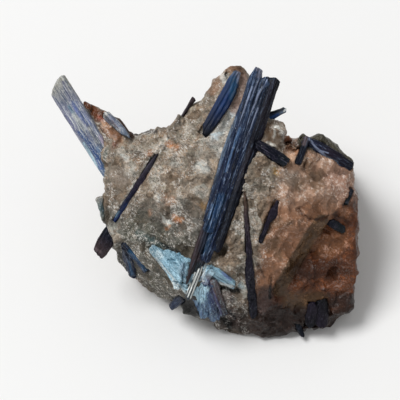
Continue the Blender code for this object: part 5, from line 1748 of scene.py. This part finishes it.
class KYANITE_OT_pale_blades(bpy.types.Operator):
    """Ribs the pale lavender blades at the left"""

    bl_idname = "kyanite.pale_blades"
    bl_label = "Pale blades"

    def execute(self, context):
        settings = context.scene.kyanite_blades
        finish = kyanite_finish("pale_kyanite", BONE, SLATE, roughness=0.4, shine=0.3, dapple=0.4)
        for node in PALE_BLADES:
            dress_blade(settings, node, finish, rib=0.4)
        return {"FINISHED"}


class KYANITE_OT_foot(bpy.types.Operator):
    """Lays the sky-blue plate and the fan at the foot of the bundle over the quartz"""

    bl_idname = "kyanite.foot"
    bl_label = "Plate and fan"

    def execute(self, context):
        settings = context.scene.kyanite_blades
        finish = kyanite_finish("plate_kyanite", ICE, SHADOW_BLUE, roughness=0.4, shine=0.3,
                                dapple=0.9, cracks=0.6)
        fan_finish = kyanite_finish("fan_kyanite", ICE, NAVY, roughness=0.4, shine=0.3, dapple=0.35)
        sight = Sight("quartz_matrix", "pale_plate", "foot_fan")
        plate = [draped(PLATE_OUTLINE, sight, 0.45), draped(SLIVER_OUTLINE, sight, 0.4)]
        fan = [
            draped(WING_OUTLINE, sight, 0.5), draped(PRISM_OUTLINE, sight, 0.5),
            draped(FAN_OUTLINE, sight, 0.45), draped(DARK_FAN_OUTLINE, sight, 0.25),
        ]
        dress_blade(settings, "pale_plate", finish, 0.5, FOOT_VOXEL, plate)
        dress_blade(settings, "foot_fan", fan_finish, 0.8, FOOT_VOXEL, fan)
        return {"FINISHED"}


class KYANITE_OT_stage(bpy.types.Operator):
    """Sets the floor, the lights and the camera"""

    bl_idname = "kyanite.stage"
    bl_label = "Stage"

    def execute(self, context):
        settings = context.scene.kyanite_stage
        ring = ((-1.0, -1.0), (1.0, -1.0), (1.0, 1.0), (-1.0, 1.0))
        corners = [(x * FLOOR_REACH, y * FLOOR_REACH, 0.0) for x, y in ring]
        ground = bpy.data.meshes.new("floor")
        ground.from_pydata(corners, [], [(0, 1, 2, 3)])
        floor = new_object("floor", ground)
        finish = Finish("floor_paper", FLOOR_ROUGHNESS)
        paper = finish.noise(finish.millimetres(), 0.05, detail=2.0, rough=0.5)
        pale = tuple(settings.floor)
        warm = (pale[0], pale[1], FLOOR_WARMTH * pale[2])
        finish.put(finish.surface.inputs["Base Color"], finish.mix(paper, pale, warm))
        ground.materials.append(finish.material)

        lamp = bpy.data.lights.new("key_light", "AREA")
        lamp.shape = "DISK"
        lamp.size = KEY_SIZE
        lamp.energy = settings.key_power
        key = new_object("key_light", lamp)
        place = LAYOUT @ KEY_PLACE
        turn = (place - SPECIMEN_PLACE).to_track_quat("Z", "Y").to_matrix().to_4x4()
        key.matrix_world = Matrix.Translation(place) @ turn

        world = bpy.data.worlds.new("studio")
        world.use_nodes = True
        sky = world.node_tree.nodes["Background"]
        sky.inputs["Color"].default_value = (1.0, 1.0, 1.0, 1.0)
        sky.inputs["Strength"].default_value = settings.sky_strength
        context.scene.world = world

        lens = bpy.data.cameras.new("camera")
        lens.lens = LENS
        lens.sensor_width = SENSOR_WIDTH
        camera = new_object("camera", lens)
        camera.matrix_world = LAYOUT @ Matrix.Translation((0.0, 0.0, VIEW_DISTANCE * MM))
        context.scene.camera = camera
        context.scene.view_settings.view_transform = "Standard"
        return {"FINISHED"}


class KYANITE_PT_panel(bpy.types.Panel):
    """Lists the settings and the makers of the specimen's pieces"""

    bl_label = "Kyanite cluster"
    bl_idname = "KYANITE_PT_panel"
    bl_space_type = "VIEW_3D"
    bl_region_type = "UI"
    bl_category = "Kyanite"

    def draw(self, context):
        for name in SETTINGS:
            group = getattr(context.scene, name)
            column = self.layout.box()
            for key in group.__annotations__:
                column.prop(group, key)
        for maker in MAKERS:
            self.layout.operator(maker.bl_idname)


SETTINGS = {
    "kyanite_rock": RockSettings,
    "kyanite_blades": BladeSettings,
    "kyanite_stage": StageSettings,
}
MAKERS = (
    KYANITE_OT_rock,
    KYANITE_OT_main_bundle,
    KYANITE_OT_blue_blades,
    KYANITE_OT_dark_blades,
    KYANITE_OT_pale_blades,
    KYANITE_OT_foot,
    KYANITE_OT_stage,
)
CLASSES = (*SETTINGS.values(), *MAKERS, KYANITE_PT_panel)


def register():
    """Registers the classes and adds the settings to the scene."""
    for part in CLASSES:
        bpy.utils.register_class(part)
    for name, group in SETTINGS.items():
        setattr(bpy.types.Scene, name, PointerProperty(type=group))


def unregister():
    """Takes the settings and the classes away again."""
    for name in SETTINGS:
        delattr(bpy.types.Scene, name)
    for part in reversed(CLASSES):
        bpy.utils.unregister_class(part)


def main():
    register()
    bpy.ops.kyanite.rock()
    bpy.ops.kyanite.main_bundle()
    bpy.ops.kyanite.blue_blades()
    bpy.ops.kyanite.dark_blades()
    bpy.ops.kyanite.pale_blades()
    bpy.ops.kyanite.foot()
    bpy.ops.kyanite.stage()


if __name__ == "__main__":
    main()
